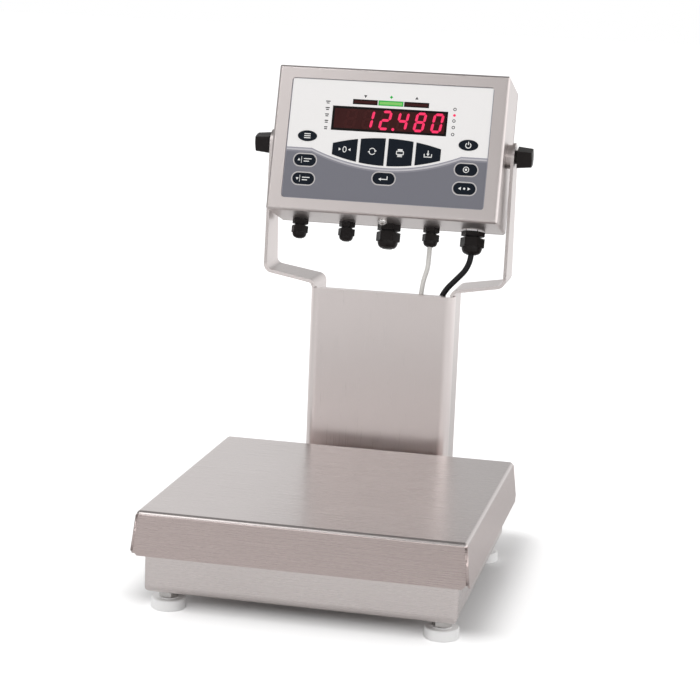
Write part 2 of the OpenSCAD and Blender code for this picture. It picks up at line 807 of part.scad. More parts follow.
module yoke_arm() {
    reach = arm_in + yoke_t + over;
    color("#C0B7B5") difference() {
        intersection() {
            translate([0, leg_back + over, 0]) rotate([90, 0, 0])
                linear_extrude(yoke_root_d + 2 * over) yoke_front_outline();
            rotate([90, 0, 90]) linear_extrude(reach) yoke_side_outline();
        }
        translate([arm_in - over, pivot_y, pivot_z]) rotate([0, 90, 0])
            cylinder(h = yoke_t + 2 * over, d = stud_d + 2 * hole_gap);
    }
}
module yoke_arm_right() { yoke_arm(); }
module yoke_arm_left() { mirror([1, 0, 0]) yoke_arm(); }

// Saddles that hold both cables on the inside of the cover
module cable_clips() {
    color("#1E1E20") for (z = clip_z) difference() {
        translate([cable_x - clip_side, column_y + cover_t, z])
            cube([lead_x - cable_x + 2 * clip_side, clip_d, clip_h]);
        translate([cable_x, cable_y, z - over])
            cylinder(h = clip_h + 2 * over, d = cable_d + 2 * cable_gap);
        translate([lead_x, cable_y, z - over])
            cylinder(h = clip_h + 2 * over, d = lead_d + 2 * cable_gap);
    }
}

// Cables

// Point in the machine's frame from one in the indicator's frame
function from_indicator(p) = [
    p[0],
    pivot_y + p[1] * cos(ind_tilt) + p[2] * sin(ind_tilt),
    pivot_z - p[1] * sin(ind_tilt) + p[2] * cos(ind_tilt)
];

// From its gland down the column, through the bracket and the tray's wall to the cell's fixed end
module load_cell_cable() {
    start = from_indicator([gland_x[3], gland_y, bottom_z - gland_l(small_af) - clamp_gap]);
    hole_x = cable_hole[0];
    hole_z = cable_hole[1];
    mid_z = cell_z + cell_h / 2;
    end_x = -cell_l / 2 + cell_end / 2;
    route = [
        start, start + [0, -2.7, -9.7], start + [-0.5, -5.4, -21.7],
        [cable_x + 3, cable_y - 1, column_top + 13], [cable_x + 1, cable_y - 0.5, column_top - 2],
        [cable_x, cable_y, column_top - 19], [cable_x, cable_y, clip_z[1]],
        [cable_x, cable_y, (clip_z[0] + clip_z[1]) / 2], [cable_x, cable_y, clip_z[0] + clip_h],
        [cable_x, cable_y, clip_z[0] - 3], [cable_x - 0.5, cable_y + 1, clip_z[0] - 14],
        [cable_x - 2.5, cable_y + 5.5, hole_z + 48], [cable_x - 6, cable_y + 10.5, hole_z + 33],
        [hole_x + 7.5, cable_y + 11, hole_z + 19], [hole_x + 3.5, cable_y + 5.5, hole_z + 7.5],
        [hole_x + 0.8, cable_y - 4, hole_z + 1.4], [hole_x, column_y + 3, hole_z],
        [hole_x, column_y - 9, hole_z], [hole_x, column_y - 22, hole_z], [hole_x, tray_back + 5, hole_z],
        [hole_x, tray_back - 6.5, hole_z], [hole_x - 1.7, tray_back - 18, hole_z + 0.7],
        [hole_x - 7.5, tray_back - 29, hole_z + 2.2], [hole_x - 18, tray_back - 38.5, mid_z - 2.8],
        [hole_x - 32, tray_back - 47, mid_z - 1], [end_x + 27, tray_back - 56, mid_z],
        [end_x + 11.5, tray_back - 69, mid_z], [end_x + 2.4, cell_w / 2 + 40, mid_z],
        [end_x, cell_w / 2 + 24, mid_z], [end_x, cell_w / 2 + 12, mid_z], [end_x, cell_w / 2 + 0.05, mid_z]
    ];
    color("#E9E8E5") tube(smooth_path(route, 3), cable_d, 8, [1, 0, 0]);
}

// From its gland over the yoke's shoulder, down the column and along the floor into the coil
module power_lead() {
    start = from_indicator([gland_x[4], gland_y, bottom_z - gland_l(large_af) - clamp_gap]);
    floor_z = lead_d / 2 + 0.1;
    route = [
        start, start + [-1.2, -2.3, -7.9], start + [-5.5, -3.2, -17],
        [lead_x + 19, cable_y - 0.3, column_top + 16.5], [lead_x + 11, cable_y, column_top + 7.6],
        [lead_x + 5.7, cable_y, column_top - 0.9], [lead_x + 2, cable_y, column_top - 12.5],
        [lead_x, cable_y, column_top - 29], [lead_x, cable_y, clip_z[1]],
        [lead_x, cable_y, (clip_z[0] + clip_z[1]) / 2], [lead_x, cable_y, clip_z[0] + clip_h],
        [lead_x, cable_y, clip_z[0] - 4], [lead_x, cable_y + 2, 88], [lead_x - 2, cable_y + 10, 56],
        [lead_x - 5, cable_y + 23, 37], [lead_x - 8.5, cable_y + 41, 22], [lead_x - 12.5, cable_y + 61, 11],
        [coil_edge + 1.5, coil_at[1] - 60, 5], [coil_edge + 0.5, coil_at[1] - 40, floor_z],
        [coil_edge, coil_at[1] - 23, floor_z], [coil_edge, coil_at[1] - 9, floor_z]
    ];
    color("#1B1B1D") tube(smooth_path(route, 3), lead_d, 8, [1, 0, 0]);
}

module power_lead_coil() {
    color("#1B1B1D") translate([coil_at[0], coil_at[1], coil_h / 2]) rotate_extrude()
        translate([coil_r, 0]) round_rect(coil_w, coil_h, lead_d / 2);
}

// Moulded plug that lies beside the coil, with a tapered relief towards it
module power_plug() {
    front = plug_back - relief_l - plug_l;
    pin_w = 6.3;
    pin_t = 1.5;
    pin_gap = 12.7;
    color("#1B1B1D") translate([plug_x, front, plug_h / 2]) {
        translate([0, plug_l, 0]) rotate([90, 0, 0]) linear_extrude(plug_l) round_rect(plug_w, plug_h, 5);
        translate([0, plug_l, 0]) rotate([-90, 0, 0])
            cylinder(h = relief_l, d1 = plug_h * 0.6, d2 = lead_d + 2);
        for (x = [-1, 1]) translate([x * pin_gap / 2 - pin_t / 2, -pin_l, -1])
            cube([pin_t, pin_l + 1, pin_w]);
        translate([0, 1, -5.5]) rotate([90, 0, 0]) cylinder(h = pin_l + 3, d = 4.8);
    }
}

// Indicator

module shell_holes() {
    for (i = [0 : len(gland_x) - 1]) translate([gland_x[i], gland_y, bottom_z]) {
        translate([0, 0, -over])
            cylinder(h = shell_t + 2 * over, d = gland_thread(gland_af[i]) + 2 * hole_gap);
        translate([0, 0, shell_t]) cylinder(h = shell_flange, d = gland_af[i] / cos(30) + gland_relief);
    }
    translate([0, service_y, bottom_z - over])
        cylinder(h = shell_t + 2 * over, d = service_thread + 2 * hole_gap);
    rotate([0, 90, 0]) cylinder(h = ind_w + 2 * over, d = hub_d + 2 * thread_gap, center = true);
    rear_screw_places() translate([0, cover_y - gasket_t - flange_t - over, 0]) rotate([-90, 0, 0])
        cylinder(h = flange_t + 2 * over, d = rear_screw_d + 2 * thread_gap);
}

// Places its children at the rear cover's screws
module rear_screw_places() {
    for (x = [-1, -0.34, 0.34, 1], z = [-1, 1]) translate([x * rear_screw_x, 0, z * rear_screw_z]) children();
    for (x = [-1, 1]) translate([x * rear_screw_x, 0, 0]) children();
}

module indicator_shell() {
    inner_w = ind_w - 2 * shell_t;
    inner_h = ind_h - 2 * shell_t;
    color("#C2BAB8") on_indicator() difference() {
        union() {
            translate([0, face_y, 0]) rotate([-90, 0, 0]) difference() {
                pan_block(ind_w, ind_h, shell_d, shell_r, shell_r);
                translate([0, 0, shell_t])
                    pan_block(inner_w, inner_h, shell_d, shell_r - shell_t, shell_r - shell_t);
            }
            into_depth(face_y + shell_t / 2, recess + shell_t / 2)
                round_rect(panel_w + 2 * shell_t, panel_h + 2 * shell_t, panel_r + shell_t);
            into_depth(cover_y - gasket_t - flange_t, flange_t) difference() {
                round_rect(inner_w + 0.4, inner_h + 0.4, shell_r - shell_t);
                round_rect(ind_w - 2 * shell_flange, ind_h - 2 * shell_flange, shell_r);
            }
        }
        into_depth(face_y - over, recess + over) round_rect(panel_w, panel_h, panel_r);
        into_depth(recess_y - over, shell_t + 2 * over) {
            translate([0, window_y]) square([window_w - 4, window_h - 3], center = true);
            for (k = [-1 : 1]) translate([k * status_pitch, status_y])
                square([status_w - 4, status_h - 1.6], center = true);
        }
        shell_holes();
    }
}

module rear_cover() {
    color("#BDB5B3") on_indicator() difference() {
        into_depth(cover_y, rear_t) round_rect(ind_w, ind_h, shell_r);
        rear_screw_places() translate([0, cover_y - over, 0]) rotate([-90, 0, 0])
            cylinder(h = rear_t + 2 * over, d = rear_screw_d + 2 * hole_gap);
    }
}

module rear_gasket() {
    color("#202022") on_indicator() difference() {
        into_depth(cover_y - gasket_t, gasket_t) difference() {
            round_rect(ind_w - 1, ind_h - 1, shell_r);
            round_rect(ind_w - 2 * shell_flange, ind_h - 2 * shell_flange, shell_r);
        }
        rear_screw_places() translate([0, cover_y - gasket_t - over, 0]) rotate([-90, 0, 0])
            cylinder(h = gasket_t + 2 * over, d = rear_screw_d + 2 * hole_gap);
    }
}

module rear_cover_screws() {
    color("#9B9796") on_indicator() rear_screw_places() translate([0, back_y, 0]) {
        rotate([-90, 0, 0])
            cylinder(h = rear_head_h, d1 = rear_head_d, d2 = rear_head_d - 2 * rear_head_taper);
        translate([0, -rear_screw_l, 0]) rotate([-90, 0, 0]) cylinder(h = rear_screw_l, d = rear_screw_d);
    }
}

// Key outlines on the panel, each grown by g all round

module oval_outline(g) {
    polygon([for (a = [0 : 6 : 354]) [(oval_w / 2 + g) * cos(a), (oval_h / 2 + g) * sin(a)]]);
}
module pill_outline(g) {
    round_rect(pill_w + 2 * g, pill_h + 2 * g, pill_h / 2 + g - 0.1);
}
// Key k of the arched row, from 0 at the left to 3 at the right
module arch_outline(k, g) {
    x = (k - 1.5) * (arch_key_w + arch_gap);
    intersection() {
        translate([0, arch_top_y - arch_top_r]) circle(arch_top_r + g, $fn = 360);
        translate([0, arch_bottom_y + arch_bottom_r]) circle(arch_bottom_r + g, $fn = 360);
        translate([x, arch_bottom_y / 2]) square([arch_key_w + 2 * g, 60], center = true);
    }
}
module all_key_outlines(g) {
    for (x = [-1, 1]) {
        translate([x * side_key_x, oval_z]) oval_outline(g);
        for (z = [pill_upper_z, pill_lower_z]) translate([x * side_key_x, z]) pill_outline(g);
    }
    translate([0, pill_middle_z]) pill_outline(g);
    for (k = [0 : 3]) arch_outline(k, g);
}

module keypad_overlay() {
    color("#F2F1F0") on_indicator() into_depth(overlay_y, overlay_t) difference() {
        round_rect(panel_w - 2 * panel_gap, panel_h - 2 * panel_gap, panel_r - panel_gap);
        translate([0, window_y]) square([window_w, window_h], center = true);
        for (k = [-1 : 1]) translate([k * status_pitch, status_y])
            square([status_w, status_h], center = true);
        all_key_outlines(panel_gap);
    }
}

module display_window() {
    color("#3B1A19") on_indicator() into_depth(overlay_y, overlay_t) translate([0, window_y])
        square([window_w - 2 * panel_gap, window_h - 2 * panel_gap], center = true);
}

module status_windows() {
    color("#8CD070") on_indicator() into_depth(overlay_y, overlay_t) for (k = [-1 : 1])
        translate([k * status_pitch, status_y])
            square([status_w - 2 * panel_gap, status_h - 2 * panel_gap], center = true);
}

module key(x, z) {
    color("#0E1620") on_indicator() into_depth(key_y, key_t) translate([x, z]) children();
}
module key_menu() { key(-side_key_x, oval_z) oval_outline(0); }
module key_power() { key(side_key_x, oval_z) oval_outline(0); }
module key_zero() { key(0, 0) arch_outline(0, 0); }
module key_units() { key(0, 0) arch_outline(1, 0); }
module key_print() { key(0, 0) arch_outline(2, 0); }
module key_tare() { key(0, 0) arch_outline(3, 0); }
module key_over() { key(-side_key_x, pill_upper_z) pill_outline(0); }
module key_under() { key(-side_key_x, pill_lower_z) pill_outline(0); }
module key_enter() { key(0, pill_middle_z) pill_outline(0); }
module key_target() { key(side_key_x, pill_upper_z) pill_outline(0); }
module key_select() { key(side_key_x, pill_lower_z) pill_outline(0); }

// Board with the digit blocks and the status lamps behind their windows
module display_board() {
    digits = 6;
    digit_w = (window_w - 8) / digits;
    lamp_y = recess_y + shell_t + 0.4;
    color("#1F5A3A") on_indicator() difference() {
        union() {
            into_depth(display_y, board_t) translate([0, display_z])
                square([display_w, display_h], center = true);
            into_depth(lamp_y, display_y - lamp_y + 0.2) {
                for (k = [0 : digits - 1]) translate([(k - (digits - 1) / 2) * digit_w, window_y])
                    square([digit_w - 0.6, window_h - 5], center = true);
                for (k = [-1 : 1]) translate([k * status_pitch, status_y])
                    square([status_w - 6, status_h - 2], center = true);
            }
        }
        for (x = [-1, 1], z = [-1, 1])
            translate([x * display_post_x, display_y - over, display_z + z * display_post_z])
                rotate([-90, 0, 0]) cylinder(h = board_t + 2 * over, d = 3);
    }
}

module main_board() {
    color("#1F5A3A") on_indicator() {
        into_depth(main_y, board_t) square([main_w, main_h], center = true);
        into_depth(main_y + board_t - 0.2, 11) {
            for (k = [-2 : 2]) translate([k * 26, -main_h / 2 + 10]) square([20, 9], center = true);
        }
        into_depth(main_y + board_t - 0.2, 3)
            for (x = [-45, 10, 55]) translate([x, 0]) square([22, 22], center = true);
    }
}

// Posts from the panel's back to the two boards
module board_standoffs() {
    color("#C9C28F") on_indicator() {
        for (x = [-1, 1], z = [-1, 1]) {
            translate([x * display_post_x, floor_back_y, display_z + z * display_post_z]) rotate([-90, 0, 0])
                cylinder(h = display_y - floor_back_y, d = standoff_d);
            translate([x * main_post_x, floor_back_y, z * main_post_z]) rotate([-90, 0, 0])
                cylinder(h = main_y - floor_back_y, d = standoff_d);
        }
    }
}

module power_supply() {
    color("#5F6266") on_indicator()
        translate([-supply_size[0] / 2, cover_y - supply_size[1], supply_z - supply_size[2] / 2])
            cube(supply_size);
}

// Gland sizes that follow from the width across the flats
function gland_thread(af) = af * 0.8;
function gland_collar_h(af) = af * 0.14 + 2.9;
function gland_nut_h(af) = af * 0.62 + 3.7;
function gland_l(af) = gland_collar_h(af) + gland_neck_h + gland_nut_h(af);

module gland_bodies() {
    color("#232326") on_indicator() for (i = [0 : len(gland_x) - 1]) {
        af = gland_af[i];
        collar = gland_collar_h(af);
        stub = collar + gland_neck_h + gland_nut_h(af) * 0.45;
        translate([gland_x[i], gland_y, bottom_z]) difference() {
            union() {
                translate([0, 0, -collar]) hex(af, collar);
                translate([0, 0, -stub]) cylinder(h = stub, d = af * 0.74);
                cylinder(h = shell_t + gland_inside, d = gland_thread(af));
            }
            translate([0, 0, -stub - over])
                cylinder(h = stub + shell_t + gland_inside + 2 * over, d = af * 0.5);
        }
    }
}

// Domed clamping nut, closed where no cable leaves
module gland_nut(af, bore) {
    h = gland_nut_h(af);
    stub = h * 0.45;
    skirt_l = h * 0.55;
    tip_d = af * 0.56;
    difference() {
        union() {
            translate([0, 0, -skirt_l]) hex(af * 1.03, skirt_l);
            translate([0, 0, -h]) rotate_extrude() polygon(concat(
                [[0, 0], [tip_d / 2 - 0.8, 0], [tip_d / 2, 0.6]],
                [for (a = [0 : 15 : 90]) [
                    tip_d / 2 + (af / 2 - tip_d / 2) * sin(a),
                    0.6 + (h - skirt_l - 0.6) * (1 - cos(a))
                ]],
                [[af / 2, h - skirt_l + 0.5], [0, h - skirt_l + 0.5]]
            ));
        }
        translate([0, 0, -stub - 0.3]) cylinder(h = stub + 0.3 + over, d = af * 0.74 + 2 * thread_gap);
        if (bore > 0) translate([0, 0, -h - over]) cylinder(h = h, d = bore + 2 * cable_gap);
    }
}
module gland_nuts() {
    color("#1C1C1F") on_indicator() for (i = [0 : len(gland_x) - 1]) {
        af = gland_af[i];
        translate([gland_x[i], gland_y, bottom_z - gland_collar_h(af) - gland_neck_h])
            gland_nut(af, gland_cable[i]);
    }
}

module gland_lock_nuts() {
    lock_h = 5;
    color("#232326") on_indicator() for (i = [0 : len(gland_x) - 1]) {
        af = gland_af[i];
        translate([gland_x[i], gland_y, bottom_z + shell_t]) difference() {
            hex(af, lock_h);
            translate([0, 0, -over]) cylinder(h = lock_h + 2 * over, d = gland_thread(af) + 2 * thread_gap);
        }
    }
}

// Boss outside the shell, with a tapped hub through its wall
module pivot_bosses() {
    disc_t = arm_gap - clamp_gap;
    color("#BEB8B5") on_indicator() for (side = [0, 180]) rotate([0, 0, side]) rotate([0, 90, 0])
        translate([0, 0, ind_w / 2]) difference() {
            union() {
                cylinder(h = disc_t, d = boss_d);
                translate([0, 0, -hub_inside]) cylinder(h = hub_inside + 1, d = hub_d);
            }
            translate([0, 0, -hub_inside - over])
                cylinder(h = hub_inside + disc_t + 2 * over, d = stud_d + 2 * thread_gap);
        }
}

module service_screw() {
    dome_h = 5;
    color("#D2CFCD") on_indicator() translate([0, service_y, bottom_z]) {
        cylinder(h = shell_t + 5, d = service_thread);
        translate([0, 0, -2]) cylinder(h = 2, d = service_d);
        translate([0, 0, -2]) intersection() {
            sphere(d = service_d);
            translate([0, 0, -dome_h / 2]) cube([service_d + 1, service_d + 1, dome_h], center = true);
        }
    }
}

// Clamp knob along +X: round neck, four-sided tapering grip with a convex end
module clamp_knob() {
    grip_l = knob_l - neck_l;
    tip_w = knob_w * knob_taper;
    taper = [[-knob_w / 2, 0], [knob_w / 2, 0], [tip_w / 2, grip_l], [-tip_w / 2, grip_l]];
    translate([knob_x, 0, 0]) rotate([knob_turn, 0, 0]) rotate([0, 90, 0]) difference() {
        union() {
            cylinder(h = neck_l + 1, d = neck_d);
            translate([0, 0, neck_l]) intersection() {
                rotate([90, 0, 0]) linear_extrude(knob_w + 1, center = true) polygon(taper);
                rotate([90, 0, 90]) linear_extrude(knob_w + 1, center = true) polygon(taper);
                cylinder(h = grip_l, d1 = knob_w * 1.34, d2 = tip_w * 1.34);
                translate([0, 0, grip_l - knob_dome_r]) sphere(knob_dome_r, $fn = 96);
            }
        }
        translate([0, 0, -over]) cylinder(h = neck_l + knob_bore + over, d = stud_d + 2 * thread_gap);
    }
}
module clamp_stud() {
    from = ind_w / 2 - stud_inside;
    to = knob_x + neck_l + knob_bore - 0.2;
    translate([from, 0, 0]) rotate([0, 90, 0]) cylinder(h = to - from, d = stud_d);
}
module knob_right() { color("#161618") on_indicator() clamp_knob(); }
module knob_left() { color("#161618") on_indicator() mirror([1, 0, 0]) clamp_knob(); }
module knob_stud_right() { color("#8E8C8B") on_indicator() clamp_stud(); }
module knob_stud_left() { color("#8E8C8B") on_indicator() mirror([1, 0, 0]) clamp_stud(); }

seat() base_tray();
seat() foot_bosses();
seat() foot_lock_nuts();
seat() load_cell();
seat() cell_lower_block();
seat() cell_lower_bolts();
seat() overload_stops();
seat() cable_grommet();
seat() column_bracket();
seat() bracket_bolts();
seat() column_crossbar();
seat() column_cover();
seat() yoke_arm_left();
seat() yoke_arm_right();
seat() cable_clips();
seat() load_cell_cable();
seat() power_lead();
seat() power_lead_coil();
seat() power_plug();
seat() spider();
seat() cell_upper_block();
seat() cell_upper_bolts();
seat() platter_cushions();
seat() platter();
seat() foot_front_left();
seat() foot_front_right();
seat() foot_rear_left();
seat() foot_rear_right();
seat() indicator_shell();
seat() rear_cover();
seat() rear_gasket();
seat() rear_cover_screws();
seat() keypad_overlay();
seat() display_window();
seat() status_windows();
seat() display_board();
seat() main_board();
seat() power_supply();
seat() board_standoffs();
seat() gland_bodies();
seat() gland_nuts();
seat() gland_lock_nuts();
seat() pivot_bosses();
seat() service_screw();
seat() knob_left();
seat() knob_right();
seat() knob_stud_left();
seat() knob_stud_right();
seat() key_menu();
seat() key_power();
seat() key_zero();
seat() key_units();
seat() key_print();
seat() key_tare();
seat() key_over();
seat() key_under();
seat() key_enter();
seat() key_target();
seat() key_select();
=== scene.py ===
"""Looks of a bench checkweigher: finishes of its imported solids, its two cables and its panel's marks."""

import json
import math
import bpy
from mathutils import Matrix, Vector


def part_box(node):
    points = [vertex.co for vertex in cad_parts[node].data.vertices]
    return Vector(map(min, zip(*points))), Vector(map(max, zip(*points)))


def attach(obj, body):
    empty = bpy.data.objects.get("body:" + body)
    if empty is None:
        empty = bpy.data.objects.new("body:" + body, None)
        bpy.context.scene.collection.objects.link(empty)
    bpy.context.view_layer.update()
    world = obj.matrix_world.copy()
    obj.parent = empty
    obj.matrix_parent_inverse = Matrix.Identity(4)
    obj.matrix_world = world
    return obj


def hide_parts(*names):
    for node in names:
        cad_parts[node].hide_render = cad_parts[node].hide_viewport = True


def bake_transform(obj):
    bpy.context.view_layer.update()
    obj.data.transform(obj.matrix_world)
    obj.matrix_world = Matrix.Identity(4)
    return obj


bl_info = {
    "name": "Bench checkweigher",
    "version": (1, 0, 0),
    "blender": (4, 5, 0),
    "location": "3D View > Sidebar > Checkweigher",
    "description": "Dresses the packed solids of a bench checkweigher",
    "category": "Object",
}

from functools import partial

import bmesh
import bpy
from bpy.props import FloatProperty, FloatVectorProperty, PointerProperty, StringProperty
from mathutils import Matrix, Vector

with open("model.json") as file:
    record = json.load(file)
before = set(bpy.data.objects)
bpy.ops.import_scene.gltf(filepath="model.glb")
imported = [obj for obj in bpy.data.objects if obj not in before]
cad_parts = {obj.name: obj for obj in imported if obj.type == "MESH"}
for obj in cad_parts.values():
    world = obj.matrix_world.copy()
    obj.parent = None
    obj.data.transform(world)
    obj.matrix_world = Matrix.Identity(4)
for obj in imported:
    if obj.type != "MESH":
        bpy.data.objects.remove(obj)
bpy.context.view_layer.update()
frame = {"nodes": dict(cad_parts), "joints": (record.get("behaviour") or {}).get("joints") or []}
NODES = frame["nodes"]
JOINTS = {joint["name"]: joint for joint in frame["joints"]}
MM = 0.001

# The platter's middle is where the cables' routes are measured from.
PLATTER_LOW, PLATTER_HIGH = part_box("platter")
PLATTER_Y = (PLATTER_LOW.y + PLATTER_HIGH.y) / 2

# The panel's plane: X to the right, Y up along the face, Z out of it, in millimetres from the tilt axis.
PIVOT = Vector(JOINTS["indicator_tilt"]["pos_m"])
PRESS = Vector(JOINTS["key_enter_press"]["axis"])
FACE_TURN = math.atan2(PRESS.y, -PRESS.z)
PANEL = Matrix.Translation(PIVOT) @ Matrix.Rotation(FACE_TURN, 4, "X") @ Matrix.Scale(MM, 4)

# Height of the overlay's and the keys' faces above the tilt axis, in millimetres.
OVERLAY_FACE = 35.2
KEY_FACE = 35.6

# Routes of the cables in millimetres from the platter's middle on the floor, as in the part's source.
LEAD_ROUTE = (
    (89, 206.06, 300.25), (87.8, 203.76, 292.35), (83.5, 202.86, 283.25), (75, 202.7, 273.5),
    (67, 203, 264.6), (61.7, 203, 256.1), (58, 203, 244.5), (56, 203, 228), (56, 203, 208),
    (56, 203, 163), (56, 203, 127), (56, 203, 114), (56, 205, 88), (54, 213, 56), (51, 226, 37),
    (47.5, 244, 22), (43.5, 264, 11), (43.5, 285, 5), (42.5, 305, 3.1), (42, 322, 3.1), (42.1, 336, 3.3),
)
CELL_ROUTE = (
    (45, 207.46, 304.99), (45, 204.76, 295.29), (44.5, 202.06, 283.29), (41, 202, 270),
    (39, 202.5, 255), (38, 203, 238), (38, 203, 208), (38, 203, 163), (38, 203, 127), (38, 203, 115),
    (37.5, 204, 104), (35.5, 208.5, 89), (32, 213.5, 74), (27.5, 214, 60), (23.5, 208.5, 48.5),
    (20.8, 199, 42.4), (20, 188, 41), (20, 176, 41), (20, 163, 41), (20, 151, 41), (20, 139.5, 41),
    (18.3, 128, 41.7), (12.5, 117, 43.2), (2, 107.5, 45.2), (-12, 99, 47), (-28, 90, 48), (-43.5, 77, 48),
    (-52.6, 60, 48), (-55, 44, 48), (-55, 32, 48), (-55, 20.05, 48),
)
COIL_MIDDLE = (0, 345)
PLUG_END = ((-42.1, 337, 9.9), (-42, 328, 10))

# Lit bars of each figure on a seven-bar display: a is the top one, then clockwise, g in the middle.
LIT_BARS = {
    "0": "abcdef", "1": "bc", "2": "abged", "3": "abgcd", "4": "fgbc", "5": "afgcd", "6": "afgedc",
    "7": "abc", "8": "abcdefg", "9": "abcdfg", " ": "",
}


def linear(code):
    """Turns an sRGB hex colour into linear red, green and blue."""
    parts = [int(code[i:i + 2], 16) / 255 for i in (0, 2, 4)]
    return tuple(p / 12.92 if p <= 0.04045 else ((p + 0.055) / 1.055) ** 2.4 for p in parts)


def colour(name, description, code):
    """Colour property whose default is an sRGB hex value."""
    return FloatVectorProperty(
        name=name, description=description, subtype="COLOR", size=3, min=0, max=1, default=linear(code)
    )


def length(name, description, metres):
    """Length property in metres."""
    return FloatProperty(
        name=name, description=description, subtype="DISTANCE", unit="LENGTH", default=metres, min=0,
        precision=5,
    )


def factor(name, description, value, top=1):
    """Plain number property between nothing and its top."""
    return FloatProperty(
        name=name, description=description, subtype="FACTOR", default=value, min=0, max=top
    )


class CheckweigherMetals(bpy.types.PropertyGroup):
    """Colours and grain of the metals"""

    sheet: colour("Sheet", "Brushed stainless sheet", "D2CAC8")
    # This darker colour of the platter's sides is painted shade on the same sheet, not a finish of its
    # own.
    shaded_skirt: colour("Skirt", "Duller sheet of the platter's skirt", "BDAFAC")
    bright: colour("Bright steel", "Turned and cold-headed steel", "C9C6C4")
    aluminium: colour("Aluminium", "Milled load cell and its blocks", "CBCCCE")
    brass: colour("Brass", "Posts and plug pins", "C9B77B")
    grain_pitch: length("Grain pitch", "Distance between the brush lines", 0.0004)
    grain_run: length("Grain run", "Length of a brush line", 0.06)
    grain_depth: length("Grain depth", "Depth of the brush lines in the shading", 0.000011)
    satin: factor("Satin", "Roughness of the sheet between its brush lines", 0.25)


class CheckweigherPlastics(bpy.types.PropertyGroup):
    """Colours of the mouldings, rubbers and jackets"""

    white_nylon: colour("White nylon", "Levelling feet", "FCFBFA")
    black_nylon: colour("Black nylon", "Glands, knobs and clips", "191413")
    soft_rubber: colour("Rubber", "Cushions, grommet and gasket", "1D1D1F")
    lead_jacket: colour("Lead jacket", "Power lead and its plug", "1B1B1D")
    cell_jacket: colour("Cell cable jacket", "Load cell cable", "ECEAE6")
    laminate: colour("Laminate", "Printed boards", "1F5A3A")
    supply_case: colour("Supply case", "Painted case of the power supply", "5E6166")
    grain: length("Moulding grain", "Size of the moulded surface grain", 0.0006)


class CheckweigherPanel(bpy.types.PropertyGroup):
    """Colours and sizes of the indicator's face"""

    white: colour("Overlay white", "Upper field of the overlay", "F5F3F2")
    # This colour also paints the shade line round the overlay's edge.
    edge: colour("Band edge", "Thin outer line of the arched band", "9D9CA6")
    band: colour("Band", "Light line of the arched band", "C5C3C7")
    shade: colour("Band shade", "Dark inner line of the arched band", "8D8C94")
    field: colour("Field", "Grey lower field", "7A7A82")
    ring: colour("Key ring", "Light ring round the pill keys", "C9C5C4")
    key: colour("Key", "Key pads", "0E1620")
    legend: colour("Legend", "Symbols on the keys", "F2F2F0")
    ink: colour("Ink", "Dark symbols on the overlay", "1B1B1F")
    filter_red: colour("Red filter", "Display filter and unlit status windows", "3A1716")
    filter_edge: colour("Filter edge", "Dark edge of the windows", "0D0909")
    digit: colour("Lit figure", "Lit bars of the display", "F2215C")
    unlit: colour("Unlit figure", "Bars that are off", "3F1A19")
    accept: colour("Accept", "Lit middle status window", "8CD070")
    accept_edge: colour("Accept edge", "Edge of the lit status window", "2FB94A")
    reading: StringProperty(name="Reading", description="Figures on the display", default=" 12.480")
    digit_height: length("Figure height", "Height of a figure", 0.0205)
    digit_width: length("Figure width", "Width of a figure", 0.0112)
    digit_bar: length("Figure bar", "Width of a lit bar", 0.0027)
    digit_pitch: length("Figure pitch", "Distance between figures", 0.018)
    ink_height: length("Ink height", "Thickness of a printed mark", 0.00003)


class CheckweigherCables(bpy.types.PropertyGroup):
    """Sizes of the two cables and of the stored coil"""

    lead_diameter: length("Lead diameter", "Outside diameter of the power lead", 0.006)
    lead_length: length("Lead length", "Power lead from its gland to its plug", 1.75)
    cell_diameter: length("Cell cable diameter", "Outside diameter of the load cell cable", 0.005)
    cell_length: length("Cell cable length", "Load cell cable from its gland to the cell", 0.487)
    coil_radius: length("Coil radius", "Radius of the outer turn's middle", 0.0422)
    coil_pitch: length("Coil pitch", "Distance between turns", 0.00602)
    coil_low: length("Lower layer", "Height of the lower layer's middle", 0.0037)
    coil_high: length("Upper layer", "Height of the upper layer's middle", 0.0098)
    tie_width: length("Tie width", "Width of the tie round the coil", 0.005)


class CheckweigherStage(bpy.types.PropertyGroup):
    """Floor, light and camera"""

    floor_size: length("Floor size", "Side of the floor", 30)
    floor: colour("Floor", "Pale floor", "EDEDED")
    key_light: FloatProperty(name="Left softbox", description="Watts", unit="POWER", default=12.5, min=0)
    fill_light: FloatProperty(name="Right fill", description="Watts", unit="POWER", default=3.5, min=0)
    room: factor("Room", "Level of the light from all round", 0.84, 2)
    lens: FloatProperty(name="Lens", description="Focal length", unit="CAMERA", default=100.82)


class CheckweigherSettings(bpy.types.PropertyGroup):
    """All settings of the checkweigher"""

    metals: PointerProperty(type=CheckweigherMetals)
    plastics: PointerProperty(type=CheckweigherPlastics)
    panel: PointerProperty(type=CheckweigherPanel)
    cables: PointerProperty(type=CheckweigherCables)
    stage: PointerProperty(type=CheckweigherStage)


def settings():
    """The scene's checkweigher settings."""
    return bpy.context.scene.checkweigher


def set_sockets(tree, node, sockets):
    """Gives sockets of a node a constant or a link."""
    for socket, value in sockets.items():
        if isinstance(value, bpy.types.NodeSocket):
            tree.links.new(value, node.inputs[socket])
        else:
            node.inputs[socket].default_value = value


def add(tree, kind, sockets=None, **values):
    """Adds a shader node, sets its values, and gives its sockets a constant or a link."""
    node = tree.nodes.new("ShaderNode" + kind)
    for name, value in values.items():
        setattr(node, name, value)
    set_sockets(tree, node, sockets or {})
    return node


def start_finish(name):
    """New material with an empty tree and a link from its shader to its output."""
    finish = bpy.data.materials.new(name)
    finish.use_nodes = True
    tree = finish.node_tree
    tree.nodes.clear()
    shader = add(tree, "BsdfPrincipled")
    add(tree, "OutputMaterial", {"Surface": shader.outputs["BSDF"]})
    return finish, tree, shader


def rgba(values):
    """Linear colour with full alpha."""
    return (*values, 1)


